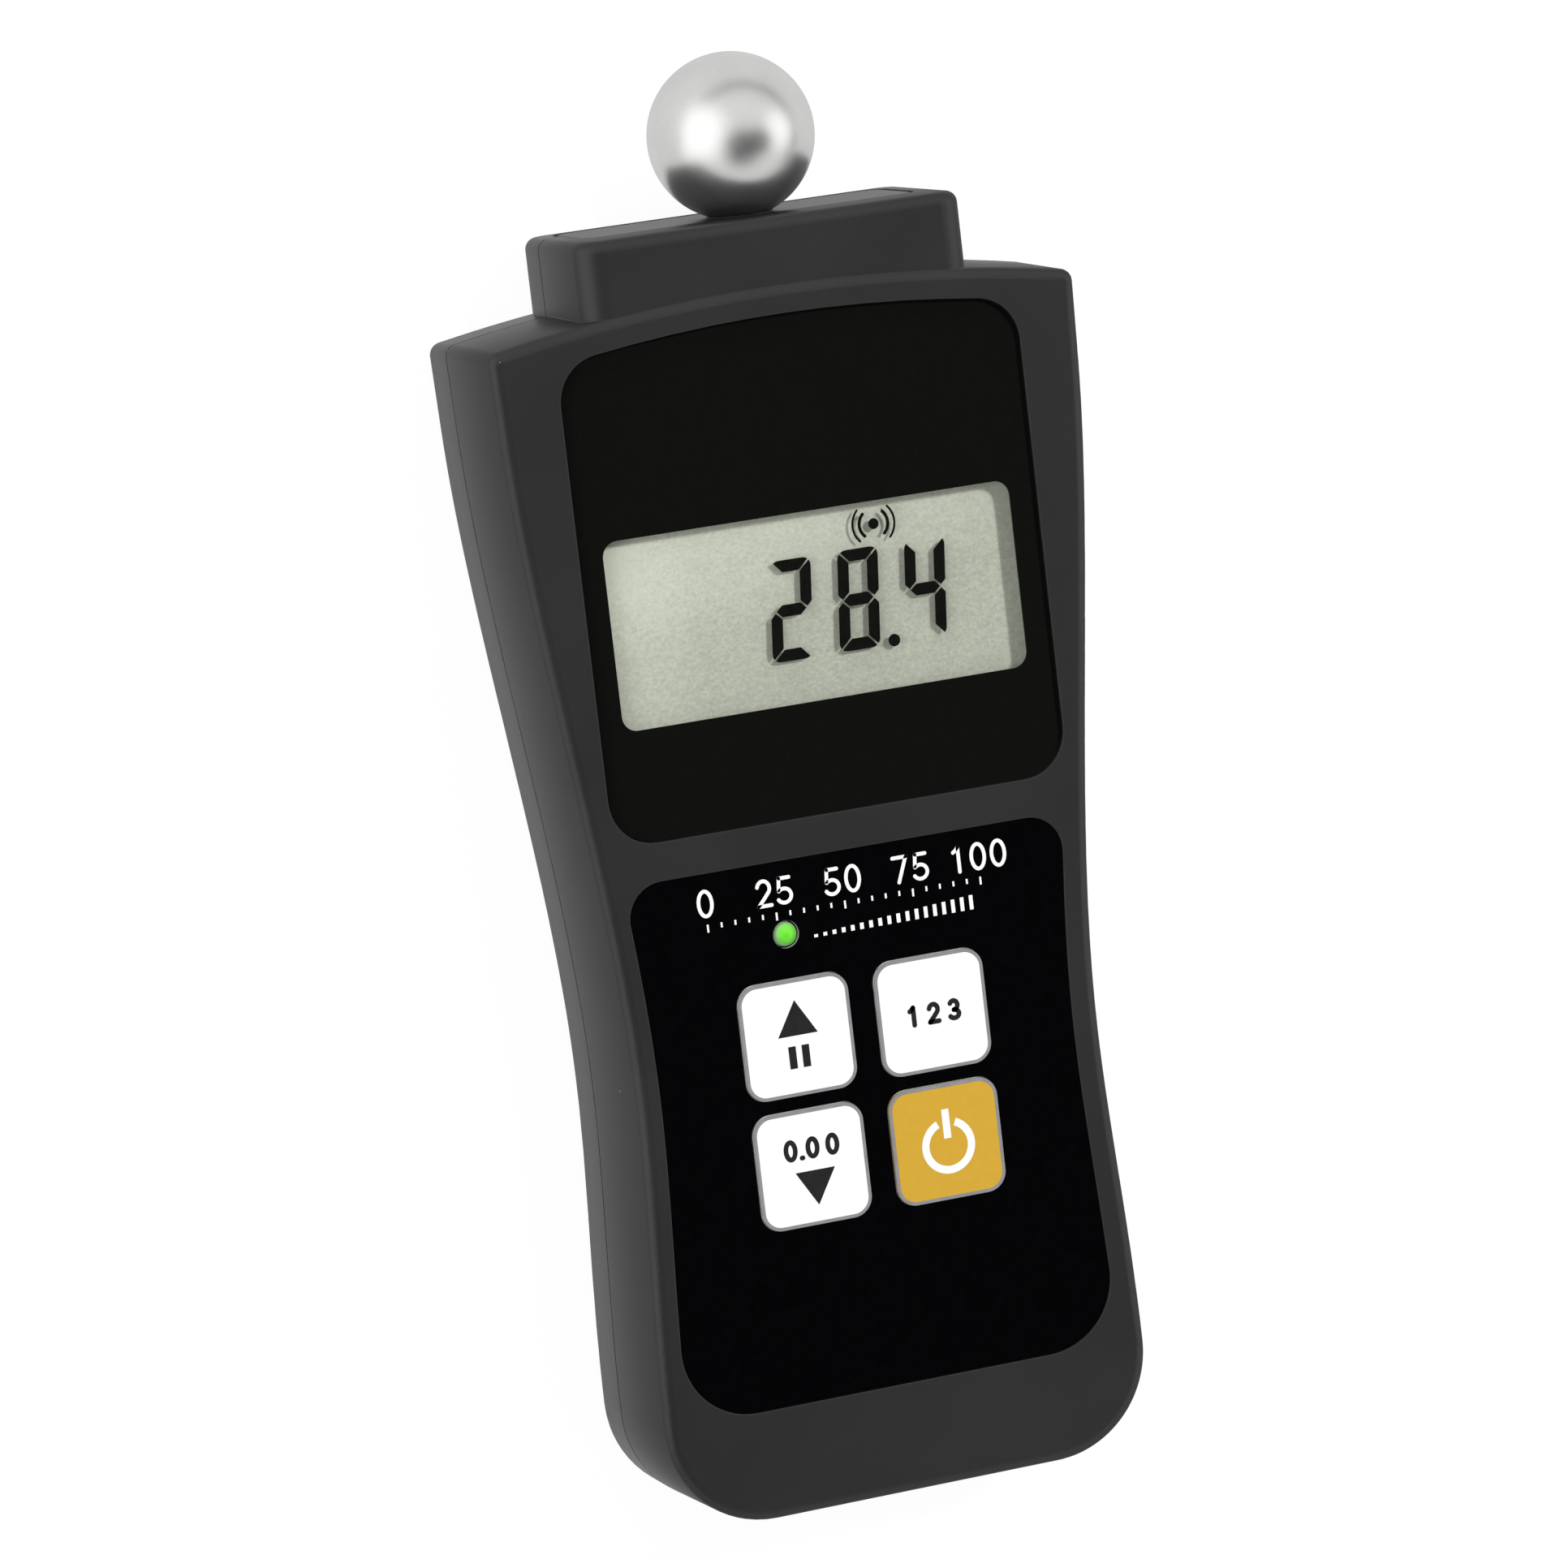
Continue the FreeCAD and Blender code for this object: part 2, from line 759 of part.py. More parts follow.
def end_cap():
    top = neck_top - side_wall
    low = top - cap_flange_thickness
    plate = cap_opening(0.0, low, neck_top)
    rim = [edge for edge in plate.Edges if edge.BoundBox.YMin > neck_top - 1e-3]
    plate = plate.makeFillet(cap_edge_radius, rim)
    flange = cap_opening(cap_flange_reach, low - fit_gap, top - fit_gap)
    flange = flange.common(neck_form(side_wall + fit_gap, 0.0, front))
    boss = rod(0, middle, cap_underside, top, cap_boss_diameter)
    cap = plate.multiFuse([flange, boss]).removeSplitter()
    cap = cap.cut(rod(0, middle, bush_seat, overall_length, bush_flange_diameter + fit_gap))
    return cap.cut(rod(0, middle, 0, overall_length, bush_diameter + fit_gap))


def ball_electrode():
    ball = Part.makeSphere(ball_radius, point(0, ball_centre, middle))
    keep = centred_block(ball_radius, ball_seat, overall_length, middle - ball_radius, middle + ball_radius)
    bore_end = ball_seat + stud_depth_in_ball + stud_bore_end_gap
    return ball.common(keep).cut(rod(0, middle, 0, bore_end, stud_bore))


def stud_hole():
    return rod(0, middle, 0, overall_length, stud_bore)


def insulating_bush():
    flange = rod(0, middle, bush_seat, ball_seat, bush_flange_diameter)
    sleeve = rod(0, middle, cap_underside, bush_seat, bush_diameter)
    return flange.fuse(sleeve).removeSplitter().cut(stud_hole())


def electrode_stud():
    return rod(0, middle, nut_bottom - stud_tail, ball_seat + stud_depth_in_ball, stud_diameter)


def clamp_washer():
    return rod(0, middle, tag_top, cap_underside, washer_diameter).cut(stud_hole())


def solder_tag():
    ring = rod(0, middle, nut_top, tag_top, tag_ring_diameter)
    tip = tag_reach + tag_arm_half_width
    arm = block(0, tip, nut_top, tag_top, middle - tag_arm_half_width, middle + tag_arm_half_width)
    return ring.fuse(arm).removeSplitter().cut(stud_hole())


def electrode_nut():
    reach = nut_across_flats / math.sqrt(3)
    corners = []
    for index in range(7):
        turn = math.radians(60 * index)
        corners.append(point(reach * math.cos(turn), nut_bottom, middle + reach * math.sin(turn)))
    nut = Part.Face(Part.makePolygon(corners)).extrude(point(0, nut_height, 0))
    return nut.cut(stud_hole())


def bent_wire(start, corner, end, diameter, radius):
    """Round wire of two straight runs joined by one tangent arc."""
    into = (corner - start).normalize()
    away = (end - corner).normalize()
    first = corner - into * radius
    last = corner + away * radius
    mid = corner + (away - into) * radius * (1 - math.sqrt(0.5))
    edges = [
        Part.makeLine(start, first),
        Part.Arc(first, mid, last).toShape(),
        Part.makeLine(last, end),
    ]
    ring = Part.Wire(Part.makeCircle(diameter / 2, start, into))
    return Part.Wire(edges).makePipeShell([ring], True, False)


def sensor_lead():
    bend = board_top - sensor_lead_margin
    start = point(tag_reach, nut_top, middle)
    corner = point(tag_reach, bend, middle)
    end = point(tag_reach, bend, board_rear)
    return bent_wire(start, corner, end, lead_diameter, lead_diameter)


def battery_leads():
    leads = []
    for x in terminal_columns:
        start = point(x, snap_top, lead_level)
        corner = point(x, board_screw_low, lead_level)
        end = point(x, board_screw_low, board_rear)
        leads.append(bent_wire(start, corner, end, lead_diameter, lead_bend_radius))
    return Part.makeCompound(leads)


def display_lens():
    return lens_form(0.0, lens_seat + mask_thickness, lens_front)


def window_mask():
    """Black print behind the lens, with the clear window left open."""
    sheet = lens_form(0.0, lens_seat, lens_seat + mask_thickness)
    return sheet.cut(window_form(0.0, lens_seat - past, front))


def lcd_frame():
    """Frame that holds the cell and its contact strips against the front wall."""
    tall = frame_half_height
    body = rounded_block(
        -frame_half_width, frame_half_width, window_centre - tall, window_centre + tall,
        board_front, cell_front + frame_lip_thickness, frame_corner_radius,
    )
    tall = cell_half_height + fit_gap
    wide = cell_half_width + fit_gap
    pocket = centred_block(wide, window_centre - tall, window_centre + tall, board_front - past, cell_front)
    return body.cut(pocket).cut(window_form(window_ledge / 2, board_front, front))


def lcd_cell():
    """Two glass plates, the rear one longer so that its contact ledges reach the strips."""
    centre_depth = cell_rear + cell_thickness / 2
    plates = []
    for tall, z0, z1 in (
        (cell_half_height, cell_rear, centre_depth),
        (cell_half_height - cell_ledge, centre_depth, cell_rear + cell_thickness),
    ):
        plates.append(centred_block(cell_half_width, window_centre - tall, window_centre + tall, z0, z1))
    return plates[0].fuse(plates[1]).removeSplitter()


def contact_strips():
    strips = []
    length = 2 * (cell_half_width - strip_end_margin)
    for side in (-1, 1):
        centre = window_centre + side * (cell_half_height - strip_width)
        strips.append(block_about(0.0, centre, length, strip_width, board_front, cell_rear))
    return Part.makeCompound(strips)


def main_board():
    """Board that is wide behind the display, with both upper corners notched round the screw posts."""
    wide = centred_block(board_half_width, board_step, board_top, board_rear, board_front)
    narrow = centred_block(board_lower_half_width, board_bottom, board_step, board_rear, board_front)
    board = wide.fuse(narrow).removeSplitter()
    reach = screw_post_diameter / 2 + board_post_clearance
    near = screw_high_x - reach
    low = screw_high_height - reach
    for x0, x1 in ((near, near + 4 * reach), (-near - 4 * reach, -near)):
        board = board.cut(rounded_block(x0, x1, low, low + 4 * reach, board_rear, board_front, reach))
    for x, y in board_screw_places:
        diameter = board_screw_diameter + 2 * board_screw_hole_gap
        board = board.cut(peg(x, y, board_rear, board_front, diameter))
    return board


def cross_recess(x, y, z0, z1, length, width):
    """Driver recess of a screw head."""
    return block_about(x, y, length, width, z0, z1).fuse(block_about(x, y, width, length, z0, z1))


def board_screws():
    screws = []
    low = board_rear - board_screw_head_height
    tip = inner_front - board_screw_tip_wall - screw_gap
    for x, y in board_screw_places:
        head = peg(x, y, low, board_rear, board_screw_head)
        shank = peg(x, y, board_rear - board_screw_slot_width, tip, board_screw_diameter)
        recess = cross_recess(
            x, y, low - past, low + board_screw_slot_depth, board_screw_slot_length, board_screw_slot_width
        )
        screws.append(head.fuse(shank).removeSplitter().cut(recess))
    return Part.makeCompound(screws)


def housing_screws():
    screws = []
    low = screw_pocket_depth - screw_head_height
    tip = parting + screw_length - screw_tip_gap
    for x, y in post_places:
        head = peg(x, y, low, screw_pocket_depth, screw_head_diameter)
        head = head.makeFillet(screw_head_round, edges_at(head, low))
        shank = peg(x, y, screw_pocket_depth - screw_gap, tip, screw_diameter)
        recess = cross_recess(x, y, low - past, low + screw_slot_depth, screw_slot_length, screw_slot_width)
        screws.append(head.fuse(shank).removeSplitter().cut(recess))
    return Part.makeCompound(screws)


def keypad_film():
    """Printed front film, open at the keys and at the lamp."""
    film = keypad_form(0.0, spacer_top, film_top)
    for place in key_places.values():
        film = film.cut(key_block(key_gap, spacer_top - past, front, place))
    return film.cut(lamp_hole(keypad_floor, front))


def keypad_spacer():
    """Layer that keeps the keys' contacts apart from the circuit until they are pressed."""
    spacer = keypad_form(-keypad_layer_inset, circuit_top, spacer_top)
    for x, y in key_places.values():
        spacer = spacer.cut(peg(x, y, circuit_top - past, front, contact_opening))
    return spacer.cut(lamp_hole(keypad_floor, front))


def keypad_circuit():
    """Printed circuit layer with its ribbon tail turned down through the slot."""
    sheet = keypad_form(-keypad_layer_inset, keypad_floor, circuit_top)
    tail = block_about(
        tail_x, tail_height + circuit_layer / 2, tail_width, circuit_layer,
        board_front + connector_floor + fit_gap, keypad_floor + circuit_layer / 2,
    )
    return sheet.cut(lamp_hole(keypad_floor - past, front)).fuse(tail).removeSplitter()


def key_pad(place):
    """One key: a thin square pad over a round contact."""
    x, y = place
    plate = key_block(0.0, key_underside, key_top, place)
    plate = plate.makeChamfer(key_edge_chamfer, edges_at(plate, key_top))
    contact_low = circuit_top + key_travel + fit_gap / 2
    contact = peg(x, y, contact_low, key_underside + key_plate / 2, contact_diameter)
    return plate.fuse(contact).removeSplitter()


def level_lamp():
    radius = lamp_diameter / 2
    top = film_top + lamp_proud
    low = top - lamp_body
    barrel = peg(lamp_x, lamp_height, low, top - radius, lamp_diameter)
    dome = Part.makeSphere(radius, point(lamp_x, lamp_height, top - radius))
    flange = peg(lamp_x, lamp_height, low, low + lamp_flange_height, lamp_flange)
    lamp = barrel.fuse(dome).fuse(flange).removeSplitter()
    legs = []
    for side in (-1, 1):
        x = lamp_x + side * lamp_leg_spacing / 2
        legs.append(block_about(x, lamp_height, lamp_leg, lamp_leg, board_front, low + overlap))
    return join(lamp, legs)


def tail_connector():
    centre = tail_height + circuit_layer / 2
    width = tail_width + 2 * connector_wall + 2 * overlap
    body = block_about(
        tail_x, centre, width, connector_thickness, board_front, board_front + connector_height
    )
    slot = block_about(
        tail_x, centre, tail_width + 2 * overlap, circuit_layer + 2 * overlap,
        board_front + connector_floor, front,
    )
    return body.cut(slot)


def chip(x, y, width, length, height, count, pitch):
    """Flat package on the back of the board with gull-wing legs down both long sides."""
    body = block_about(x, y, width, length, board_rear - height, board_rear - chip_standoff)
    legs = []
    leg_width = leg_reach + leg_root
    for side in (-1, 1):
        leg_x = x + side * (width / 2 - leg_root + leg_width / 2)
        for index in range(count):
            leg_y = y + (index - (count - 1) / 2) * pitch
            leg = block_about(leg_x, leg_y, leg_width, pitch * 0.4, board_rear - leg_thickness, board_rear)
            legs.append(leg)
    return join(body, legs)


def logic_chips():
    large = chip(chip_x, chip_centre, chip_width, chip_length, chip_height, chip_leg_count, chip_leg_pitch)
    small = chip(
        small_chip_x, low_parts_height, small_chip_width, small_chip_length, small_chip_height,
        small_chip_leg_count, small_chip_leg_pitch,
    )
    return Part.makeCompound([large, small])


def crystal():
    low = board_rear - crystal_height
    can = block_about(crystal_x, chip_centre, crystal_width, crystal_length, low, board_rear)
    can = can.makeFillet(crystal_end_radius, upright_edges(can))
    return can.makeFillet(can_edge_radius, edges_at(can, low))


def capacitors():
    low = board_rear - capacitor_height
    cans = []
    for x, height in (
        (-capacitor_x, low_parts_height),
        (capacitor_x, low_parts_height),
        (capacitor_x, low_parts_height + capacitor_pitch),
    ):
        can = peg(x, height, low, board_rear, capacitor_diameter)
        cans.append(can.makeFillet(can_edge_radius, edges_at(can, low)))
    return Part.makeCompound(cans)


def trimmers():
    low = board_rear - trimmer_height
    top = low - trimmer_screw_height
    pieces = []
    for side in (-1, 1):
        x = trimmer_x + side * trimmer_pitch / 2
        body = block_about(x, low_parts_height, trimmer_size, trimmer_size, low, board_rear)
        screw = peg(x, low_parts_height, top, low + overlap, trimmer_screw_diameter)
        slot = block_about(
            x, low_parts_height, trimmer_screw_diameter + overlap, trimmer_slot,
            top - past, top + trimmer_slot_depth,
        )
        pieces.append(body.fuse(screw).cut(slot))
    return Part.makeCompound(pieces)


def shield_can():
    """Sheet metal can over the sensor circuit, open towards the board, with vent holes."""
    low = board_rear - shield_height
    width = 2 * shield_half_width
    outer = block_about(0.0, shield_centre, width, shield_length, low, board_rear)
    outer = outer.makeFillet(shield_corner_radius, upright_edges(outer))
    inner = block_about(
        0.0, shield_centre, width - 2 * shield_sheet, shield_length - 2 * shield_sheet,
        low + shield_sheet, board_rear + past,
    )
    can = outer.cut(inner)
    for row in range(shield_hole_rows):
        y = shield_centre + (row - (shield_hole_rows - 1) / 2) * shield_hole_pitch
        for column in range(shield_hole_columns):
            x = (column - (shield_hole_columns - 1) / 2) * shield_hole_pitch
            can = can.cut(peg(x, y, low - past, low + past, shield_hole_diameter))
    return can


def buzzer():
    low = board_rear - buzzer_height
    disc = peg(buzzer_x, chip_centre, low, board_rear, buzzer_diameter)
    port = peg(buzzer_x, chip_centre, low - past, low + buzzer_port_depth, buzzer_port_diameter)
    return disc.makeFillet(can_edge_radius, edges_at(disc, low)).cut(port)


def nine_volt_battery():
    case = centred_block(battery_width / 2, battery_bottom, battery_end, battery_rear, battery_front)
    case = case.makeFillet(battery_edge_radius, long_edges(case, battery_body / 2))
    for x, diameter in zip(terminal_columns, (socket_terminal, stud_terminal)):
        case = case.fuse(rod(x, battery_level, battery_end - terminal_root, battery_top, diameter))
    return case.removeSplitter()


def battery_snap():
    """Snap plate that presses on both terminals."""
    plate = centred_block(
        tub_half_width - fit_gap, snap_bottom, snap_top,
        battery_level - snap_depth / 2, battery_level + snap_depth / 2,
    )
    plate = plate.makeFillet(snap_corner_radius, long_edges(plate, snap_thickness / 2))
    for x in terminal_columns:
        socket = rod(x, battery_level, 0, battery_top + overlap, socket_terminal + 2 * overlap)
        plate = plate.cut(socket)
    return plate


def battery_foam():
    half = battery_width / 2 - foam_side_margin
    low = battery_level - foam_depth / 2
    return centred_block(half, tub_bottom, tub_bottom + foam_thickness, low, low + foam_depth)


pieces = {
    "front_shell": front_shell,
    "rear_shell": rear_shell,
    "battery_door": battery_door,
    "end_cap": end_cap,
    "ball_electrode": ball_electrode,
    "electrode_stud": electrode_stud,
    "insulating_bush": insulating_bush,
    "clamp_washer": clamp_washer,
    "solder_tag": solder_tag,
    "electrode_nut": electrode_nut,
    "sensor_lead": sensor_lead,
    "display_lens": display_lens,
    "window_mask": window_mask,
    "lcd_frame": lcd_frame,
    "lcd_cell": lcd_cell,
    "contact_strips": contact_strips,
    "main_board": main_board,
    "board_screws": board_screws,
    "housing_screws": housing_screws,
    "keypad_film": keypad_film,
    "keypad_spacer": keypad_spacer,
    "keypad_circuit": keypad_circuit,
    "level_lamp": level_lamp,
    "tail_connector": tail_connector,
    "logic_chips": logic_chips,
    "crystal": crystal,
    "capacitors": capacitors,
    "trimmers": trimmers,
    "shield_can": shield_can,
    "buzzer": buzzer,
    "nine_volt_battery": nine_volt_battery,
    "battery_snap": battery_snap,
    "battery_leads": battery_leads,
    "battery_foam": battery_foam,
}

os.makedirs("parts", exist_ok=True)
to_middle = point(0, -overall_length / 2, 0)
shapes = {name: make() for name, make in pieces.items()}
shapes.update({name: key_pad(place) for name, place in key_places.items()})
for name, shape in shapes.items():
    shape.translate(to_middle)
    shape.exportStep(f"parts/{name}.step")
    print(name, len(shape.Solids), round(shape.Volume, 1), shape.isValid())
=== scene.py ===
# Dresses the moisture meter: finishes for every solid, the reading on the display, the marks on
# the keys and the film, then the studio and the camera. Lengths are in millimetres until makePiece.
import math
import bmesh
import bpy
import numpy as np
from mathutils import Matrix, Vector


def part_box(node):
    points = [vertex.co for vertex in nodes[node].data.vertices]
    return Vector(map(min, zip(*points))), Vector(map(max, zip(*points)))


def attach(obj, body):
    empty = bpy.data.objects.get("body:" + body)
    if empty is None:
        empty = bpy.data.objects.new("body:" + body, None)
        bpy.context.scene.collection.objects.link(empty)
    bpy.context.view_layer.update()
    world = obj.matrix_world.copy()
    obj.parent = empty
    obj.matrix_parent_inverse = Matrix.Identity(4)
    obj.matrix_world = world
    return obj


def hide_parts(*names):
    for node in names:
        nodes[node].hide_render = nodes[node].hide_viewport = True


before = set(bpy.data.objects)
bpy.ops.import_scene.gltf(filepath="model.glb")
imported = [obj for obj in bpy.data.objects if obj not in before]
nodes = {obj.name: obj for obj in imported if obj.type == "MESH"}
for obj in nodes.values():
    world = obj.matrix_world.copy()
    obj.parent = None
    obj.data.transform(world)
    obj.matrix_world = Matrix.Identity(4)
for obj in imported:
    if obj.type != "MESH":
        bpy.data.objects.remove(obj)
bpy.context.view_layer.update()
mm = 0.001
perMetre = 1000.0     # a texture at this scale has cells of 1 mm


def boxOf(node):
    # lowest and highest corner of a solid, in millimetres
    low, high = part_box(node)
    return np.array(low) / mm, np.array(high) / mm


# Surfaces. Each is a grid of points, rows by columns, with a note of which way it closes on itself.

def roundedRectangle(centre, halfWide, halfTall, radius, perCorner=8):
    # a circle whose four quarters are pushed apart by the straight sides
    quarter = np.linspace(0, math.pi / 2, perCorner)
    turn = np.concatenate([quarter + k * math.pi / 2 for k in range(4)])
    side = np.repeat(np.array([[1, 1], [-1, 1], [-1, -1], [1, -1]]), perCorner, axis=0)
    corner = side * np.array([halfWide - radius, halfTall - radius])
    return corner + radius * np.stack([np.cos(turn), np.sin(turn)], 1) + np.array(centre)


def arcPath(centre, radiusX, radiusY, fromDegrees, toDegrees, steps=24):
    # points of an ellipse between two angles
    turn = np.radians(np.linspace(fromDegrees, toDegrees, steps))
    return np.stack([centre[0] + radiusX * np.cos(turn), centre[1] + radiusY * np.sin(turn)], 1)


def circlePath(centre, radius):
    # a full turn in steps of 8 degrees, open by one step because the plate closes it
    return arcPath(centre, radius, radius, 0, 352, 45)


def plate(outline, low, high, edge=0.0):
    # rows are the outline drawn in towards its middle by an inset, each at its own height:
    # middle below, full outline twice up the side, inset outline on top, middle above
    outline = np.asarray(outline, float)
    middle = outline.mean(0)
    outward = outline - middle
    reach = np.linalg.norm(outward, axis=1, keepdims=True)
    full, none = reach[:, 0], 0 * reach[:, 0]
    inset = [full, none, none, none + edge, full]
    height = [low, low, high - edge, high, high]
    flat = np.stack([middle + outward * (1 - step[:, None] / reach) for step in inset])
    lift = np.broadcast_to(np.array(height)[:, None, None], flat.shape[:2] + (1,))
    return np.concatenate([flat, lift], 2), False, True


roundEnd = {"steps": 6, "start": 0.12, "stop": 0.97}     # shares of the quarter turn past an end


def stroke(path, width, low, high, edge=0.0, closed=False, roundEnds=True):
    # a flat bar's section carried along a path: the section's points step across by the path's
    # normal times half the width, which shrinks as a half circle past each rounded end
    path = np.asarray(path, float)
    half = np.full(len(path), width / 2)
    if closed:
        along = np.roll(path, -1, 0) - np.roll(path, 1, 0)
    else:
        if roundEnds:
            start, steps = roundEnd["start"], roundEnd["steps"]
            first, last = path[0] - path[1], path[-1] - path[-2]
            swing = np.sin(np.linspace(start, 1, steps) * math.pi / 2)[:, None] * width / 2
            head = path[0] + swing[::-1] * first / np.linalg.norm(first)
            tail = path[-1] + swing * last / np.linalg.norm(last)
            shrink = np.cos(np.linspace(start, roundEnd["stop"], steps) * math.pi / 2) * width / 2
            path = np.concatenate([head, path, tail])
            half = np.concatenate([shrink[::-1], half, shrink])
        along = np.gradient(path, axis=0)
    along = along / np.linalg.norm(along, axis=1, keepdims=True)
    normal = np.stack([-along[:, 1], along[:, 0]], 1)
    across = np.array([-1, -1, -1, 1, 1, 1])[None, :] * half[:, None]
    across[:, 2] += np.minimum(edge, half)
    across[:, 3] -= np.minimum(edge, half)
    height = np.array([low, high - edge, high, high, high - edge, low])
    flat = path[:, None] + across[:, :, None] * normal[:, None]
    lift = np.broadcast_to(height[None, :, None], flat.shape[:2] + (1,))
    grid = np.concatenate([flat, lift], 2)
    if not closed:
        ends = [np.broadcast_to(row.mean(0), row.shape)[None] for row in (grid[0], grid[-1])]
        grid = np.concatenate([ends[0], grid, ends[1]])
    return grid, closed, True


def gridFaces(rows, columns, wrapRows, wrapColumns):
    # four corners of every cell, counted along the rows
    row = np.arange(rows if wrapRows else rows - 1)[:, None]
    column = np.arange(columns if wrapColumns else columns - 1)[None, :]
    nextRow, nextColumn = (row + 1) % rows, (column + 1) % columns
    corners = [row * columns + column, row * columns + nextColumn,
               nextRow * columns + nextColumn, nextRow * columns + column]
    return np.stack(corners, -1).reshape(-1, 4)


meshing = {"mergeWithin": 1e-7, "sharpFrom": 30}      # metres, degrees


def makePiece(name, surfaces, material, body):
    # joins the surfaces into one mesh, closes seams and poles, turns the faces outwards
    points, faces, count = [], [], 0
    for grid, wrapRows, wrapColumns in surfaces:
        points.append(grid.reshape(-1, 3) * mm)
        faces.append(gridFaces(grid.shape[0], grid.shape[1], wrapRows, wrapColumns) + count)
        count += grid.shape[0] * grid.shape[1]
    mesh = bpy.data.meshes.new(name)
    mesh.from_pydata(np.concatenate(points).tolist(), [], np.concatenate(faces).tolist())
    shape = bmesh.new()
    shape.from_mesh(mesh)
    bmesh.ops.remove_doubles(shape, verts=shape.verts, dist=meshing["mergeWithin"])
    bmesh.ops.recalc_face_normals(shape, faces=shape.faces)
    shape.to_mesh(mesh)
    shape.free()
    mesh.polygons.foreach_set("use_smooth", np.ones(len(mesh.polygons), bool))
    mesh.set_sharp_from_angle(angle=math.radians(meshing["sharpFrom"]))
    mesh.materials.append(material)
    piece = bpy.data.objects.new(name, mesh)
    bpy.context.scene.collection.objects.link(piece)
    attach(piece, body)
    return piece


# Shader helpers

def put(tree, kind, inputs=None, **settings):
    # adds a node, sets its options, then sets or links its sockets
    node = tree.nodes.new(kind)
    for name, value in settings.items():
        setattr(node, name, value)
    for name, value in (inputs or {}).items():
        if isinstance(value, bpy.types.NodeSocket):
            tree.links.new(value, node.inputs[name])
        else:
            node.inputs[name].default_value = value
    return node


def calc(tree, operation, first, second=0.0, clamp=False):
    inputs = {0: first, 1: second}
    return put(tree, "ShaderNodeMath", inputs, operation=operation, use_clamp=clamp).outputs[0]


def spread(tree, value, fromLow, fromHigh, toLow=0.0, toHigh=1.0, smooth=False):
    # a value moved from one range to another and held inside it
    kind = "SMOOTHSTEP" if smooth else "LINEAR"
    ends = {0: value, 1: fromLow, 2: fromHigh, 3: toLow, 4: toHigh}
    return put(tree, "ShaderNodeMapRange", ends, interpolation_type=kind).outputs[0]


def blend(tree, share, first, second):
    inputs = {0: share, 6: first, 7: second}
    return put(tree, "ShaderNodeMix", inputs, data_type="RGBA").outputs[2]


def newGroup(name, takes, gives):
    # a shader node group with named inputs and outputs
    group = bpy.data.node_groups.new(name, "ShaderNodeTree")
    add = group.interface.new_socket
    for label, value in takes.items():
        add(name=label, in_out="INPUT", socket_type="NodeSocketFloat").default_value = value
    for label, kind in gives.items():
        add(name=label, in_out="OUTPUT", socket_type="NodeSocket" + kind)
    taken = group.nodes.new("NodeGroupInput").outputs
    return group, taken, group.nodes.new("NodeGroupOutput").inputs


def use(tree, group, values=None):
    return put(tree, "ShaderNodeGroup", values, node_tree=group).outputs


def place(tree):
    return put(tree, "ShaderNodeTexCoord").outputs["Object"]


# Effects shared by several finishes

def buildMouldGrain():
    # spark-eroded mould texture: fine noise and shallow pits, and a slow drift of tone
    group, taken, given = newGroup("mouldGrain", {"Grain mm": 0.3, "Drift mm": 18.0},
                                   {"Height": "Float", "Drift": "Float", "Fleck": "Float"})
    spot = place(group)
    fineScale = calc(group, "DIVIDE", perMetre, taken["Grain mm"])
    fine = put(group, "ShaderNodeTexNoise", {"Vector": spot, "Detail": 3.0, "Roughness": 0.6,
                                             "Scale": fineScale}).outputs[0]
    pitScale = calc(group, "DIVIDE", 0.7 * perMetre, taken["Grain mm"])
    pits = put(group, "ShaderNodeTexVoronoi", {"Vector": spot, "Randomness": 1.0, "Scale": pitScale})
    pit = spread(group, pits.outputs["Distance"], 0.0, 0.5, smooth=True)
    height = calc(group, "ADD", calc(group, "MULTIPLY", fine, 0.7), calc(group, "MULTIPLY", pit, 0.3))
    driftScale = calc(group, "DIVIDE", perMetre, taken["Drift mm"])
    drift = put(group, "ShaderNodeTexNoise", {"Vector": spot, "Detail": 2.0, "Scale": driftScale})
    group.links.new(height, given["Height"])
    group.links.new(spread(group, drift.outputs[0], 0.3, 0.7), given["Drift"])
    group.links.new(spread(group, fine, 0.35, 0.65), given["Fleck"])
    return group


def buildSoftEdge():
    # rounds the shading of sharp moulded edges and gives a mask that is 1 along them
    group, taken, given = newGroup("softEdge", {"Radius mm": 0.25, "Reach": 6.0},
                                   {"Normal": "Vector", "Edge": "Float"})
    radius = calc(group, "MULTIPLY", taken["Radius mm"], mm)
    rounded = put(group, "ShaderNodeBevel", {"Radius": radius}, samples=4).outputs[0]
    flat = put(group, "ShaderNodeNewGeometry").outputs["Normal"]
    agree = put(group, "ShaderNodeVectorMath", {0: rounded, 1: flat}, operation="DOT_PRODUCT")
    turned = calc(group, "SUBTRACT", 1.0, agree.outputs["Value"])
    group.links.new(rounded, given["Normal"])
    group.links.new(calc(group, "MULTIPLY", turned, taken["Reach"], clamp=True), given["Edge"])
    return group


def buildDust():
    # a few pale specks, one in some of the cells of a loose net
    group, taken, given = newGroup("dustSpecks", {"Cell mm": 4.0, "Share": 0.2}, {"Mask": "Float"})
    scale = calc(group, "DIVIDE", perMetre, taken["Cell mm"])
    cells = put(group, "ShaderNodeTexVoronoi", {"Vector": place(group), "Scale": scale,
                                                "Randomness": 1.0})
    chance = put(group, "ShaderNodeSeparateColor", {0: cells.outputs["Color"]}).outputs
    size = calc(group, "MULTIPLY", chance[1], 0.05)
    near = calc(group, "LESS_THAN", cells.outputs["Distance"], size)
    picked = calc(group, "LESS_THAN", chance[0], taken["Share"])
    group.links.new(calc(group, "MULTIPLY", near, picked), given["Mask"])
    return group


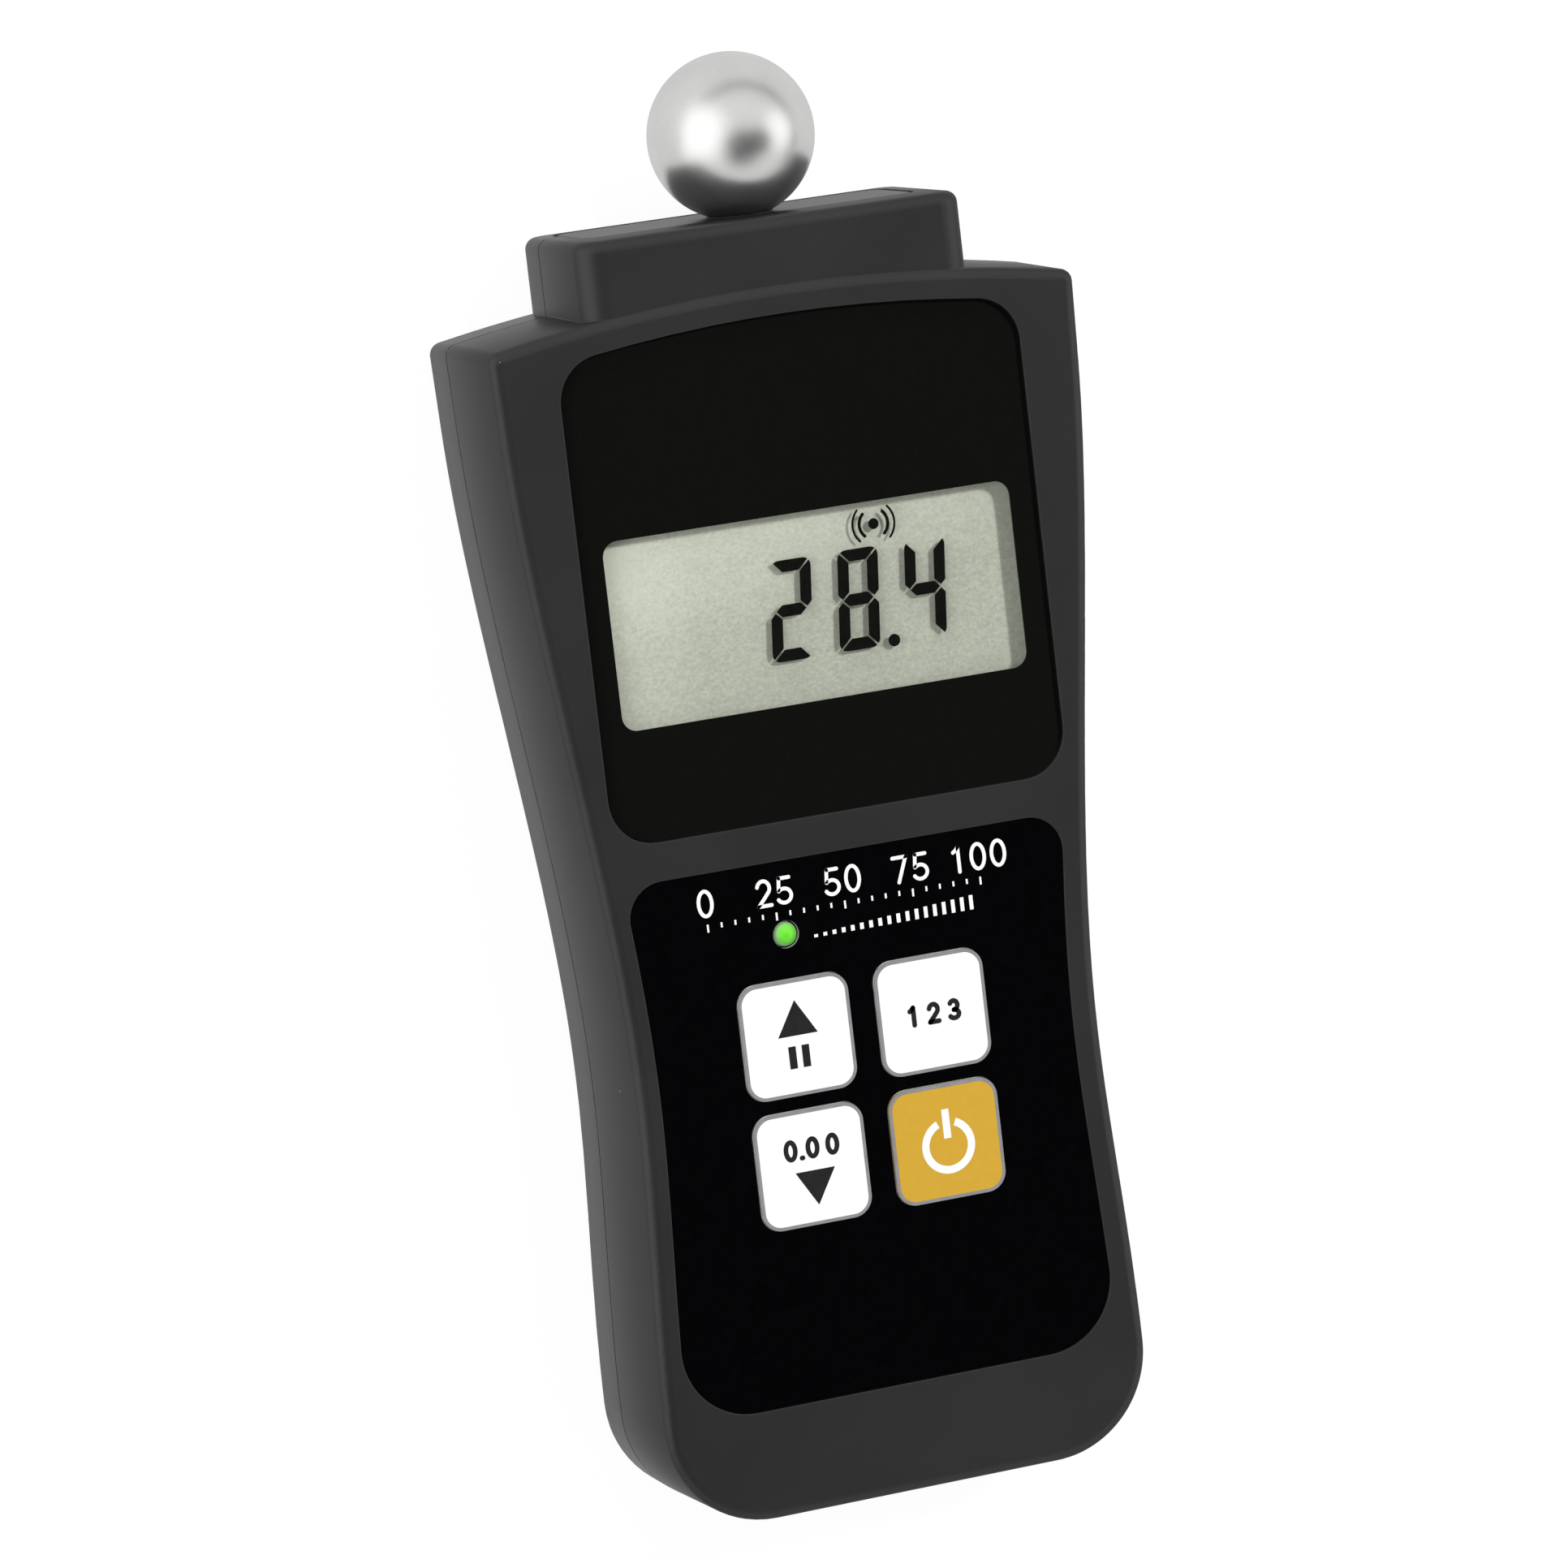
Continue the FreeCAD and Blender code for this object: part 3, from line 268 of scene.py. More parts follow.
def buildPrintGrain():
    # the pebbled face of a printed polyester film: soft bumps and a slight unevenness of the ink
    group, taken, given = newGroup("printGrain", {"Pebble mm": 0.12},
                                   {"Height": "Float", "Ink": "Float"})
    spot = place(group)
    scale = calc(group, "DIVIDE", perMetre, taken["Pebble mm"])
    pebbles = put(group, "ShaderNodeTexVoronoi", {"Vector": spot, "Scale": scale,
                                                  "Smoothness": 0.8}, feature="SMOOTH_F1")
    ink = put(group, "ShaderNodeTexNoise", {"Vector": spot, "Scale": 900.0, "Detail": 4.0})
    group.links.new(calc(group, "SUBTRACT", 1.0, pebbles.outputs["Distance"]), given["Height"])
    group.links.new(spread(group, ink.outputs[0], 0.3, 0.7), given["Ink"])
    return group


def buildTurnedRings():
    # fine rings left by turning about an axis along y, and a cloud of handling marks
    group, taken, given = newGroup("turnedRings", {"Pitch mm": 0.15, "Cloud mm": 6.0},
                                   {"Height": "Float", "Cloud": "Float"})
    spot = place(group)
    along = put(group, "ShaderNodeSeparateXYZ", {0: spot}).outputs["Y"]
    count = calc(group, "DIVIDE", calc(group, "MULTIPLY", along, perMetre), taken["Pitch mm"])
    rings = put(group, "ShaderNodeTexNoise", {"W": count, "Detail": 2.0, "Scale": 1.0},
                noise_dimensions="1D")
    cloudScale = calc(group, "DIVIDE", perMetre, taken["Cloud mm"])
    cloud = put(group, "ShaderNodeTexNoise", {"Vector": spot, "Detail": 4.0, "Roughness": 0.6,
                                              "Scale": cloudScale})
    group.links.new(rings.outputs[0], given["Height"])
    group.links.new(spread(group, cloud.outputs[0], 0.35, 0.65), given["Cloud"])
    return group


mouldGrain = buildMouldGrain()
softEdge = buildSoftEdge()
dustSpecks = buildDust()
printGrain = buildPrintGrain()
turnedRings = buildTurnedRings()
print("shared effects built")


# Finishes

def startMaterial(name, **values):
    # a material with one Principled BSDF whose plain sockets are set here
    material = bpy.data.materials.new(name)
    material.use_nodes = True
    tree = material.node_tree
    shader = tree.nodes["Principled BSDF"]
    for label, value in values.items():
        shader.inputs[label.replace("_", " ")].default_value = value
    return material, tree, shader


def addRelief(tree, shader, height, depthMm, normal=None):
    inputs = {"Height": height, "Distance": depthMm * mm}
    if normal is not None:
        inputs["Normal"] = normal
    tree.links.new(put(tree, "ShaderNodeBump", inputs).outputs[0], shader.inputs["Normal"])


def crownedNormal(tree, normal, middleMm, radiusMm):
    # bends the shading of upright walls as if they bulged: the height falls by the square of the
    # distance from the middle depth over twice the crown's radius
    depth = put(tree, "ShaderNodeSeparateXYZ", {0: place(tree)}).outputs["Z"]
    away = calc(tree, "SUBTRACT", depth, middleMm * mm)
    fall = calc(tree, "DIVIDE", calc(tree, "MULTIPLY", away, away), -2 * radiusMm * mm)
    inputs = {"Height": fall, "Distance": 1.0, "Normal": normal}
    return put(tree, "ShaderNodeBump", inputs).outputs[0]


def mouldedPlastic(name, look):
    # satin moulded plastic: grain in the surface, a lighter tone along sharp edges, specks of dust
    material, tree, shader = startMaterial(name, Specular_IOR_Level=look["gloss"])
    grain = use(tree, mouldGrain, {"Grain mm": look["grain"], "Drift mm": look["drift"]})
    edge = use(tree, softEdge, {"Radius mm": look["edgeRadius"]})
    dust = use(tree, dustSpecks, {"Cell mm": look["dustCell"], "Share": look["dustShare"]})["Mask"]
    tone = blend(tree, grain["Drift"], look["dark"], look["light"])
    # lighter along the sharp edges that the soft edge mask finds
    edgeTone = blend(tree, calc(tree, "MULTIPLY", edge["Edge"], look["edgeShare"]), tone, look["edgeTone"])
    dusty = blend(tree, calc(tree, "MULTIPLY", dust, look["dustCover"]), edgeTone, look["dust"])
    rough = calc(tree, "ADD", spread(tree, grain["Fleck"], 0.0, 1.0, look["smooth"], look["rough"]),
                 calc(tree, "MULTIPLY", dust, look["dustRough"]))
    tree.links.new(dusty, shader.inputs["Base Color"])
    tree.links.new(rough, shader.inputs["Roughness"])
    normal = edge["Normal"]
    if "crown" in look:
        normal = crownedNormal(tree, normal, *look["crown"])
    addRelief(tree, shader, grain["Height"], look["relief"], normal)
    return material


shellLook = {"dark": (0.016, 0.016, 0.0165, 1), "light": (0.021, 0.021, 0.0215, 1),
             "edgeTone": (0.08, 0.08, 0.08, 1), "edgeShare": 0.25, "edgeRadius": 0.22,
             "grain": 0.16, "drift": 22.0, "relief": 0.006,
             "smooth": 0.33, "rough": 0.41, "gloss": 0.5,
             "dust": (0.5, 0.5, 0.48, 1), "dustCell": 3.0, "dustShare": 0.1, "dustCover": 0.6,
             "dustRough": 0.3}
crownOfWalls = (8.0, 45.0)      # depth of the bulge's middle and its radius, in millimetres
capLook = dict(shellLook, grain=0.2, relief=0.008)
innerLook = dict(shellLook, dustShare=0.0)
frameLook = dict(innerLook, dark=(0.2, 0.21, 0.19, 1), light=(0.24, 0.25, 0.23, 1),
                 edgeTone=(0.3, 0.3, 0.28, 1))
nylonLook = dict(innerLook, dark=(0.7, 0.67, 0.58, 1), light=(0.8, 0.78, 0.7, 1),
                 edgeTone=(0.85, 0.83, 0.78, 1), smooth=0.35, rough=0.45)
epoxyLook = dict(innerLook, dark=(0.014, 0.014, 0.015, 1), light=(0.022, 0.022, 0.023, 1),
                 grain=0.08, smooth=0.45, rough=0.6)
insulatorLook = dict(innerLook, dark=(0.01, 0.01, 0.011, 1), light=(0.016, 0.016, 0.017, 1))
sleeveLook = dict(innerLook, dark=(0.38, 0.012, 0.012, 1), light=(0.48, 0.02, 0.02, 1),
                  edgeTone=(0.5, 0.04, 0.04, 1), relief=0.002, smooth=0.3, rough=0.4)
rubberLook = dict(innerLook, dark=(0.68, 0.68, 0.65, 1), light=(0.76, 0.76, 0.73, 1),
                  edgeTone=(0.8, 0.8, 0.78, 1), smooth=0.5, rough=0.6)


def turnedMetal(name, look):
    # satin turned metal with faint rings, slow clouds in its polish and a little colour drift
    material, tree, shader = startMaterial(name, Metallic=1.0)
    marks = use(tree, turnedRings, {"Pitch mm": look["pitch"], "Cloud mm": look["cloud"]})
    tone = blend(tree, marks["Cloud"], look["dark"], look["light"])
    rough = spread(tree, marks["Cloud"], 0.0, 1.0, look["smooth"], look["rough"])
    tree.links.new(tone, shader.inputs["Base Color"])
    tree.links.new(rough, shader.inputs["Roughness"])
    addRelief(tree, shader, marks["Height"], look["relief"])
    return material


ballLook = {"dark": (0.85, 0.85, 0.84, 1), "light": (0.92, 0.92, 0.91, 1), "pitch": 0.12,
            "cloud": 7.0, "smooth": 0.31, "rough": 0.36, "relief": 0.0006}
brassLook = dict(ballLook, dark=(0.72, 0.52, 0.2, 1), light=(0.8, 0.62, 0.28, 1), relief=0.002)
steelLook = dict(ballLook, dark=(0.52, 0.53, 0.55, 1), light=(0.66, 0.66, 0.67, 1), cloud=1.5,
                 smooth=0.3, rough=0.42, relief=0.002)
tinLook = dict(ballLook, dark=(0.6, 0.6, 0.6, 1), light=(0.72, 0.72, 0.71, 1), cloud=3.0,
               smooth=0.25, rough=0.4, relief=0.001)


def printedFilm(name, look):
    # a printed film with a pebbled face
    material, tree, shader = startMaterial(name, Specular_IOR_Level=look["gloss"])
    grain = use(tree, printGrain, {"Pebble mm": look["pebble"]})
    tone = blend(tree, grain["Ink"], look["dark"], look["light"])
    rough = spread(tree, grain["Ink"], 0.0, 1.0, look["smooth"], look["rough"])
    tree.links.new(tone, shader.inputs["Base Color"])
    tree.links.new(rough, shader.inputs["Roughness"])
    addRelief(tree, shader, grain["Height"], look["relief"])
    return material


filmLook = {"dark": (0.001, 0.001, 0.0014, 1), "light": (0.0016, 0.0016, 0.0021, 1),
            "pebble": 0.14, "relief": 0.001, "smooth": 0.5, "rough": 0.58, "gloss": 0.01}
whiteLook = dict(filmLook, dark=(0.965, 0.965, 0.965, 1), light=(0.985, 0.985, 0.985, 1),
                 relief=0.0004)
whiteInkLook = dict(whiteLook, relief=0.0006)
amberLook = dict(filmLook, dark=(0.65, 0.385, 0.044, 1), light=(0.67, 0.4, 0.048, 1), relief=0.0004)
ringLook = dict(filmLook, dark=(0.25, 0.25, 0.26, 1), light=(0.29, 0.29, 0.3, 1), gloss=0.3)
darkInkLook = dict(filmLook, dark=(0.012, 0.012, 0.012, 1), light=(0.016, 0.016, 0.016, 1),
                   gloss=0.25)
sheetLook = dict(filmLook, dark=(0.66, 0.66, 0.64, 1), light=(0.74, 0.74, 0.72, 1), gloss=0.4)
panelLook = dict(filmLook, dark=(0.0078, 0.0078, 0.007, 1), light=(0.0086, 0.0086, 0.0078, 1),
                 smooth=0.2, rough=0.28, relief=0.0, gloss=0.1)
segmentLook = dict(filmLook, dark=(0.005, 0.005, 0.004, 1), light=(0.007, 0.007, 0.006, 1),
                   smooth=0.5, rough=0.6, relief=0.0, gloss=0.0)
print("plastics, metals and prints ready")


lensLook = {"tint": (0.98, 0.98, 0.98, 1), "rough": 0.03, "ior": 1.4, "smearScale": 90.0}
glassLook = dict(lensLook, tint=(0.985, 0.99, 0.98, 1), rough=0.02, ior=1.3)


def clearMaterial(name, look):
    # clear plate: light passes straight through it to what lies under, and the eye sees it bend
    material, tree, shader = startMaterial(name, Base_Color=look["tint"], IOR=look["ior"],
                                           Transmission_Weight=1.0)
    smear = put(tree, "ShaderNodeTexNoise", {"Vector": place(tree), "Scale": look["smearScale"],
                                             "Detail": 3.0})
    rough = spread(tree, smear.outputs[0], 0.3, 0.7, 0.0, look["rough"])
    tree.links.new(rough, shader.inputs["Roughness"])
    passing = put(tree, "ShaderNodeBsdfTransparent", {"Color": look["tint"]})
    ray = put(tree, "ShaderNodeLightPath")
    both = put(tree, "ShaderNodeMixShader", {0: ray.outputs["Is Shadow Ray"], 1: shader.outputs[0],
                                             2: passing.outputs[0]})
    tree.links.new(both.outputs[0], tree.nodes["Material Output"].inputs["Surface"])
    return material


# ranges along x and y are in metres here, because they meet Object coordinates
reflectorLook = {"dark": (0.45, 0.473, 0.4, 1), "light": (0.865, 0.902, 0.77, 1), "rough": 0.55,
                 "gloss": 0.2, "grainMm": 0.4, "stretch": (0.7, 1.0, 1.0), "fleckScale": 3200.0,
                 "fleckShare": 0.4, "speckle": (0.54, 0.94), "relief": 0.008,
                 # painted shade darkens the reflector towards the foot; painted light brightens it
                 # again at the sides
                 "fall": 0.46, "paintedShadeOver": (-0.031, -0.021), "paintedShadeTilt": 0.12,
                 "lift": 0.3, "paintedLightOver": (0.018, 0.027), "paintedLightMiddle": 0.004}


def reflectorMaterial():
    # grey-green reflector: crossed grain of the polariser, painted shade that darkens it towards the
    # foot and a little towards the right, and painted light that lifts it again towards the sides
    look = reflectorLook
    material, tree, shader = startMaterial("displayReflector", Specular_IOR_Level=look["gloss"],
                                           Roughness=look["rough"])
    spot = place(tree)
    stretched = put(tree, "ShaderNodeMapping", {"Vector": spot, "Scale": look["stretch"]}).outputs[0]
    grain = put(tree, "ShaderNodeTexNoise", {"Vector": stretched, "Detail": 3.0,
                                             "Scale": perMetre / look["grainMm"]}).outputs[0]
    fleck = put(tree, "ShaderNodeTexNoise", {"Vector": spot, "Detail": 2.0,
                                             "Scale": look["fleckScale"]}).outputs[0]
    mixed = calc(tree, "ADD", calc(tree, "MULTIPLY", grain, 1 - look["fleckShare"]),
                 calc(tree, "MULTIPLY", fleck, look["fleckShare"]))
    speckle = spread(tree, mixed, 0.34, 0.66, *look["speckle"])
    axes = put(tree, "ShaderNodeSeparateXYZ", {0: spot}).outputs
    # painted shade: darker towards the foot and a little towards the right
    down = calc(tree, "SUBTRACT", calc(tree, "MULTIPLY", axes["X"], look["paintedShadeTilt"]), axes["Y"])
    paintedShade = spread(tree, down, *look["paintedShadeOver"], 0.0, look["fall"])
    # painted light: lighter again towards both sides
    away = calc(tree, "ABSOLUTE", calc(tree, "SUBTRACT", axes["X"], look["paintedLightMiddle"]))
    withPaintedLight = calc(tree, "ADD", speckle, spread(tree, away, *look["paintedLightOver"], 0.0, look["lift"]))
    tone = calc(tree, "SUBTRACT", withPaintedLight, paintedShade, clamp=True)
    tree.links.new(blend(tree, tone, look["dark"], look["light"]), shader.inputs["Base Color"])
    addRelief(tree, shader, mixed, look["relief"])
    return material


lampLook = {"core": (0.08, 0.62, 0.005, 1), "coreLight": (0.2, 0.78, 0.05, 1),
            "rim": (0.42, 0.6, 0.36, 1), "rimFrom": 1.0, "rimTo": 1.5, "cloudScale": 900.0,
            "rough": 0.18, "coat": 0.4, "coatRough": 0.08, "glow": 0.12}


def lampMaterial():
    # tinted resin lens of the lamp: vivid in the middle, paler towards its rim
    look = lampLook
    material, tree, shader = startMaterial("lampResin", Roughness=look["rough"],
                                           Coat_Weight=look["coat"],
                                           Coat_Roughness=look["coatRough"],
                                           Emission_Strength=look["glow"])
    low, high = boxOf("level_lamp")
    middle = (low + high) / 2 * mm
    spot = place(tree)
    centred = put(tree, "ShaderNodeMapping", {"Vector": spot, "Scale": (1.0, 1.0, 0.0),
                                              "Location": (-middle[0], -middle[1], 0.0)}).outputs[0]
    reach = put(tree, "ShaderNodeVectorMath", {0: centred}, operation="LENGTH").outputs["Value"]
    rim = spread(tree, reach, look["rimFrom"] * mm, look["rimTo"] * mm, smooth=True)
    cloud = put(tree, "ShaderNodeTexNoise", {"Vector": spot, "Scale": look["cloudScale"],
                                             "Detail": 2.0})
    core = blend(tree, cloud.outputs[0], look["core"], look["coreLight"])
    tint = blend(tree, rim, core, look["rim"])
    tree.links.new(tint, shader.inputs["Base Color"])
    tree.links.new(tint, shader.inputs["Emission Color"])
    return material


boardLook = {"resist": (0.012, 0.13, 0.05, 1), "resistLight": (0.02, 0.18, 0.075, 1),
             "track": (0.05, 0.3, 0.13, 1), "laneScale": 160.0, "laneLong": 0.9, "laneWide": 0.35,
             "trackWide": 0.06, "weaveScale": 2200.0, "relief": 0.03, "rough": 0.32, "coat": 0.3}


def boardMaterial():
    # solder resist over copper: tracks run as stepped lines, slightly raised and lighter
    look = boardLook
    material, tree, shader = startMaterial("boardLaminate", Roughness=look["rough"],
                                           Coat_Weight=look["coat"])
    spot = place(tree)
    lanes = put(tree, "ShaderNodeTexBrick", {"Vector": spot, "Scale": look["laneScale"],
                                             "Mortar Size": look["trackWide"], "Mortar Smooth": 0.2,
                                             "Brick Width": look["laneLong"],
                                             "Row Height": look["laneWide"]})
    weave = put(tree, "ShaderNodeTexNoise", {"Vector": spot, "Scale": look["weaveScale"],
                                             "Detail": 2.0})
    base = blend(tree, weave.outputs[0], look["resist"], look["resistLight"])
    track = lanes.outputs["Fac"]
    tree.links.new(blend(tree, track, base, look["track"]), shader.inputs["Base Color"])
    addRelief(tree, shader, track, look["relief"])
    return material


batteryLook = {"body": (0.03, 0.032, 0.036, 1), "bodyLight": (0.05, 0.052, 0.058, 1),
               "band": (0.55, 0.26, 0.09, 1), "bandTall": 16.0, "bandFade": 0.2,
               "scuffScale": 700.0, "smooth": 0.25, "rough": 0.42, "metal": 0.6}


def batteryMaterial():
    # painted can: dark body with a plain copper-coloured band at the terminal end, scuffed
    look = batteryLook
    material, tree, shader = startMaterial("batteryPaint", Metallic=look["metal"])
    spot = place(tree)
    along = put(tree, "ShaderNodeSeparateXYZ", {0: spot}).outputs["Y"]
    bandFoot = boxOf("nine_volt_battery")[1][1] - look["bandTall"]
    band = spread(tree, along, (bandFoot - look["bandFade"]) * mm, bandFoot * mm)
    scuff = put(tree, "ShaderNodeTexNoise", {"Vector": spot, "Scale": look["scuffScale"],
                                             "Detail": 6.0, "Roughness": 0.7}).outputs[0]
    body = blend(tree, scuff, look["body"], look["bodyLight"])
    rough = spread(tree, scuff, 0.3, 0.7, look["smooth"], look["rough"])
    tree.links.new(blend(tree, band, body, look["band"]), shader.inputs["Base Color"])
    tree.links.new(rough, shader.inputs["Roughness"])
    return material


foamLook = {"dark": (0.02, 0.02, 0.021, 1), "light": (0.07, 0.07, 0.07, 1), "cellScale": 2400.0,
            "relief": 0.15, "rough": 0.9}


def foamMaterial():
    # closed-cell foam: round cells with thin walls
    look = foamLook
    material, tree, shader = startMaterial("foamBlock", Roughness=look["rough"])
    cells = put(tree, "ShaderNodeTexVoronoi", {"Vector": place(tree), "Scale": look["cellScale"]})
    wall = spread(tree, cells.outputs["Distance"], 0.0, 0.6)
    tree.links.new(blend(tree, wall, look["dark"], look["light"]), shader.inputs["Base Color"])
    addRelief(tree, shader, wall, look["relief"])
    return material


finishes = [
    (("front_shell", "rear_shell", "battery_door"),
     mouldedPlastic("shellPlastic", dict(shellLook, crown=crownOfWalls))),
    (("end_cap",), mouldedPlastic("capPlastic", capLook)),
    (("ball_electrode",), turnedMetal("ballMetal", ballLook)),
    (("display_lens",), clearMaterial("lensAcrylic", lensLook)),
    (("window_mask",), printedFilm("panelPrint", panelLook)),
    (("keypad_film",), printedFilm("filmPrint", filmLook)),
    (("key_power",), printedFilm("keyAmber", amberLook)),
    (("level_lamp",), lampMaterial()),
    (("main_board",), boardMaterial()),
    (("nine_volt_battery",), batteryMaterial()),
    (("battery_foam",), foamMaterial()),
    (("lcd_frame",), mouldedPlastic("framePlastic", frameLook)),
    (("contact_strips",), mouldedPlastic("contactRubber", rubberLook)),
    (("key_up", "key_select", "key_down"), printedFilm("keyWhite", whiteLook)),
    (("electrode_stud", "electrode_nut", "solder_tag"), turnedMetal("studBrass", brassLook)),
    (("board_screws", "housing_screws"), turnedMetal("platedSteel", steelLook)),
    (("crystal", "shield_can"), turnedMetal("tinnedCan", tinLook)),
    (("insulating_bush", "clamp_washer", "battery_snap"),
     mouldedPlastic("insulatorBlack", insulatorLook)),
    (("keypad_spacer", "keypad_circuit"), printedFilm("polyesterSheet", sheetLook)),
    (("tail_connector", "trimmers"), mouldedPlastic("connectorNylon", nylonLook)),
    (("logic_chips", "capacitors", "buzzer"), mouldedPlastic("chipEpoxy", epoxyLook)),
    (("sensor_lead", "battery_leads"), mouldedPlastic("wireSleeve", sleeveLook)),
]
for names, material in finishes:
    for name in names:
        for holder in nodes[name].material_slots:
            holder.material = material
print("finishes on", sum(len(names) for names, material in finishes), "solids")


# Display: a reflector at the back, a clear glass bedded on it, and the dark shapes inside it. The
# heights of all that is drawn or printed are given above the foot of the housing.

display = {
    "reflectorDepth": 1.25, "reflectorEdge": 0.05, "glassEdge": 0.1, "bed": 0.05, "corner": 0.6,
    "shapeDepth": 0.06, "shapeThick": 0.03,
    "reading": "28.4", "middle": (6.0, 108.0), "pitch": 8.6, "slant": 0.087,
    "halfWide": 2.6, "halfTall": 6.02, "bar": 1.43, "gap": 0.2, "round": 1.1,
    "tipOut": 0.15, "tipUp": 0.03, "shoulderOut": 0.05, "shoulderIn": 0.12, "centreGap": 0.85,
    "point": (9.91, 102.43), "pointRadius": 0.75,
    "signal": (8.93, 116.63), "signalDot": 0.66,
    "signalArcs": [(1.82, 0.4, 46), (2.68, 0.27, 44)],     # radius, width, half angle
}
barsOfDigit = {"2": "abged", "8": "abcdefg", "4": "fgbc"}
footBelow = -boxOf("front_shell")[0][1]      # how far the housing's foot lies below the origin
cellTop = boxOf("lcd_cell")[1][2]
shapeTop = cellTop - display["shapeDepth"]
shapeLevels = (shapeTop - display["shapeThick"], shapeTop)


def fromFoot(points):
    # heights above the foot become places in the frame
    points = np.array(points, float)
    points[..., 1] -= footBelow
    return points


def segmentOutlines():
    # the seven bars of one digit before it leans: bars with mitred ends a gap apart, and the
    # four outer corners of the digit are arcs
    wide, tall, bar, corner = (display[key] for key in ("halfWide", "halfTall", "bar", "round"))
    tipOut, tipUp = display["tipOut"], display["tipUp"]
    gap = display["gap"] / math.sqrt(2)
    spare = math.degrees(display["gap"] / 2 / corner)
    hub = np.array([wide - corner, tall - corner])
    arc = arcPath(hub, corner, corner, 90, 45 + spare, 6)
    top = np.concatenate([arc, [[wide - bar - gap, tall - bar]]])
    top = np.concatenate([top, top[::-1] * [-1, 1]])
    arc = arcPath(hub, corner, corner, 45 - spare, 0, 6)
    side = np.concatenate([arc, [[wide, bar / 2 + display["shoulderOut"]],
                                 [wide - bar / 2 + tipOut, gap + tipUp],
                                 [wide - bar, bar / 2 + gap + display["shoulderIn"]],
                                 [wide - bar, tall - bar - gap]]])
    reach = wide - bar / 2 + tipOut - gap * display["centreGap"]
    inner = reach - bar / 2 - tipUp
    centre = np.array([[reach, 0], [inner, bar / 2], [-inner, bar / 2], [-reach, 0],
                       [-inner, -bar / 2], [inner, -bar / 2]])
    return {"a": top, "b": side, "c": side * [1, -1], "d": top * [1, -1], "e": side * [-1, -1],
            "f": side * [-1, 1], "g": centre}


def digitSurfaces():
    # the middle digit stands on the reading's own middle
    surfaces = []
    outlines = segmentOutlines()
    for column, figure in enumerate(display["reading"].replace(".", ""), start=-1):
        middle = np.array(display["middle"]) + [display["pitch"] * column, 0]
        for letter in barsOfDigit[figure]:
            leaning = outlines[letter] + outlines[letter][:, 1:] * [display["slant"], 0]
            surfaces.append(plate(fromFoot(leaning + middle), *shapeLevels))
    dot = circlePath(display["point"], display["pointRadius"])
    surfaces.append(plate(fromFoot(dot), *shapeLevels))
    return surfaces


def signalSurfaces():
    # a dot between two pairs of arcs
    middle = display["signal"]
    surfaces = [plate(fromFoot(circlePath(middle, display["signalDot"])), *shapeLevels)]
    for radius, width, half in display["signalArcs"]:
        for facing in (0, 180):
            path = arcPath(middle, radius, radius, facing - half, facing + half)
            surfaces.append(stroke(fromFoot(path), width, *shapeLevels))
    return surfaces


low, high = boxOf("lcd_cell")
cellHalf = (high[:2] - low[:2]) / 2
cellOutline = roundedRectangle((low[:2] + high[:2]) / 2, cellHalf[0], cellHalf[1], display["corner"])
reflectorTop = cellTop - display["reflectorDepth"]
reflectorSurface = plate(cellOutline, low[2], reflectorTop, display["reflectorEdge"])
lcdReflector = makePiece("lcdReflector", [reflectorSurface], reflectorMaterial(), "meter")
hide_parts("lcd_cell")
glassSurface = plate(cellOutline, reflectorTop - display["bed"], cellTop, display["glassEdge"])
makePiece("lcdGlass", [glassSurface], clearMaterial("displayGlass", glassLook), "meter")
segmentInk = printedFilm("segmentInk", segmentLook)
makePiece("lcdDigits", digitSurfaces(), segmentInk, "meter")
makePiece("lcdSignal", signalSurfaces(), segmentInk, "meter")
print("display built")


# Keys: a grey ring round each face and a printed mark

keyPrint = {
    "raise": 0.025, "sink": 0.02,
    "ring": 0.42, "ringOver": 0.02, "ringSink": 0.16, "ringEdge": 0.02, "keyRadius": 2.4,
    "triangleHalf": 2.53, "triangleTall": 4.25, "upTriangle": (-9.05, 57.95),
    "downTriangle": (-8.85, 41.5),
    "upBarsX": (-10.0, -8.3), "upBarsY": (54.0, 55.3, 56.7), "upBarWide": 0.95,
    "figureTall": 2.5, "figureLine": 0.6,
    "selectText": "123", "selectAt": (8.4, 57.65), "selectSpacing": 1.07,
    "downText": "0.00", "downAt": (-9.0, 44.25), "downSpacing": 1.02,
    "powerAt": (8.4, 41.4), "powerRadius": 2.95, "powerLine": 0.93, "powerGap": 22,
    "powerBarY": (42.3, 44.0, 45.85),
}
whiteInk = printedFilm("whiteInk", whiteInkLook)
darkInk = printedFilm("darkInk", darkInkLook)
ringInk = printedFilm("ringInk", ringLook)

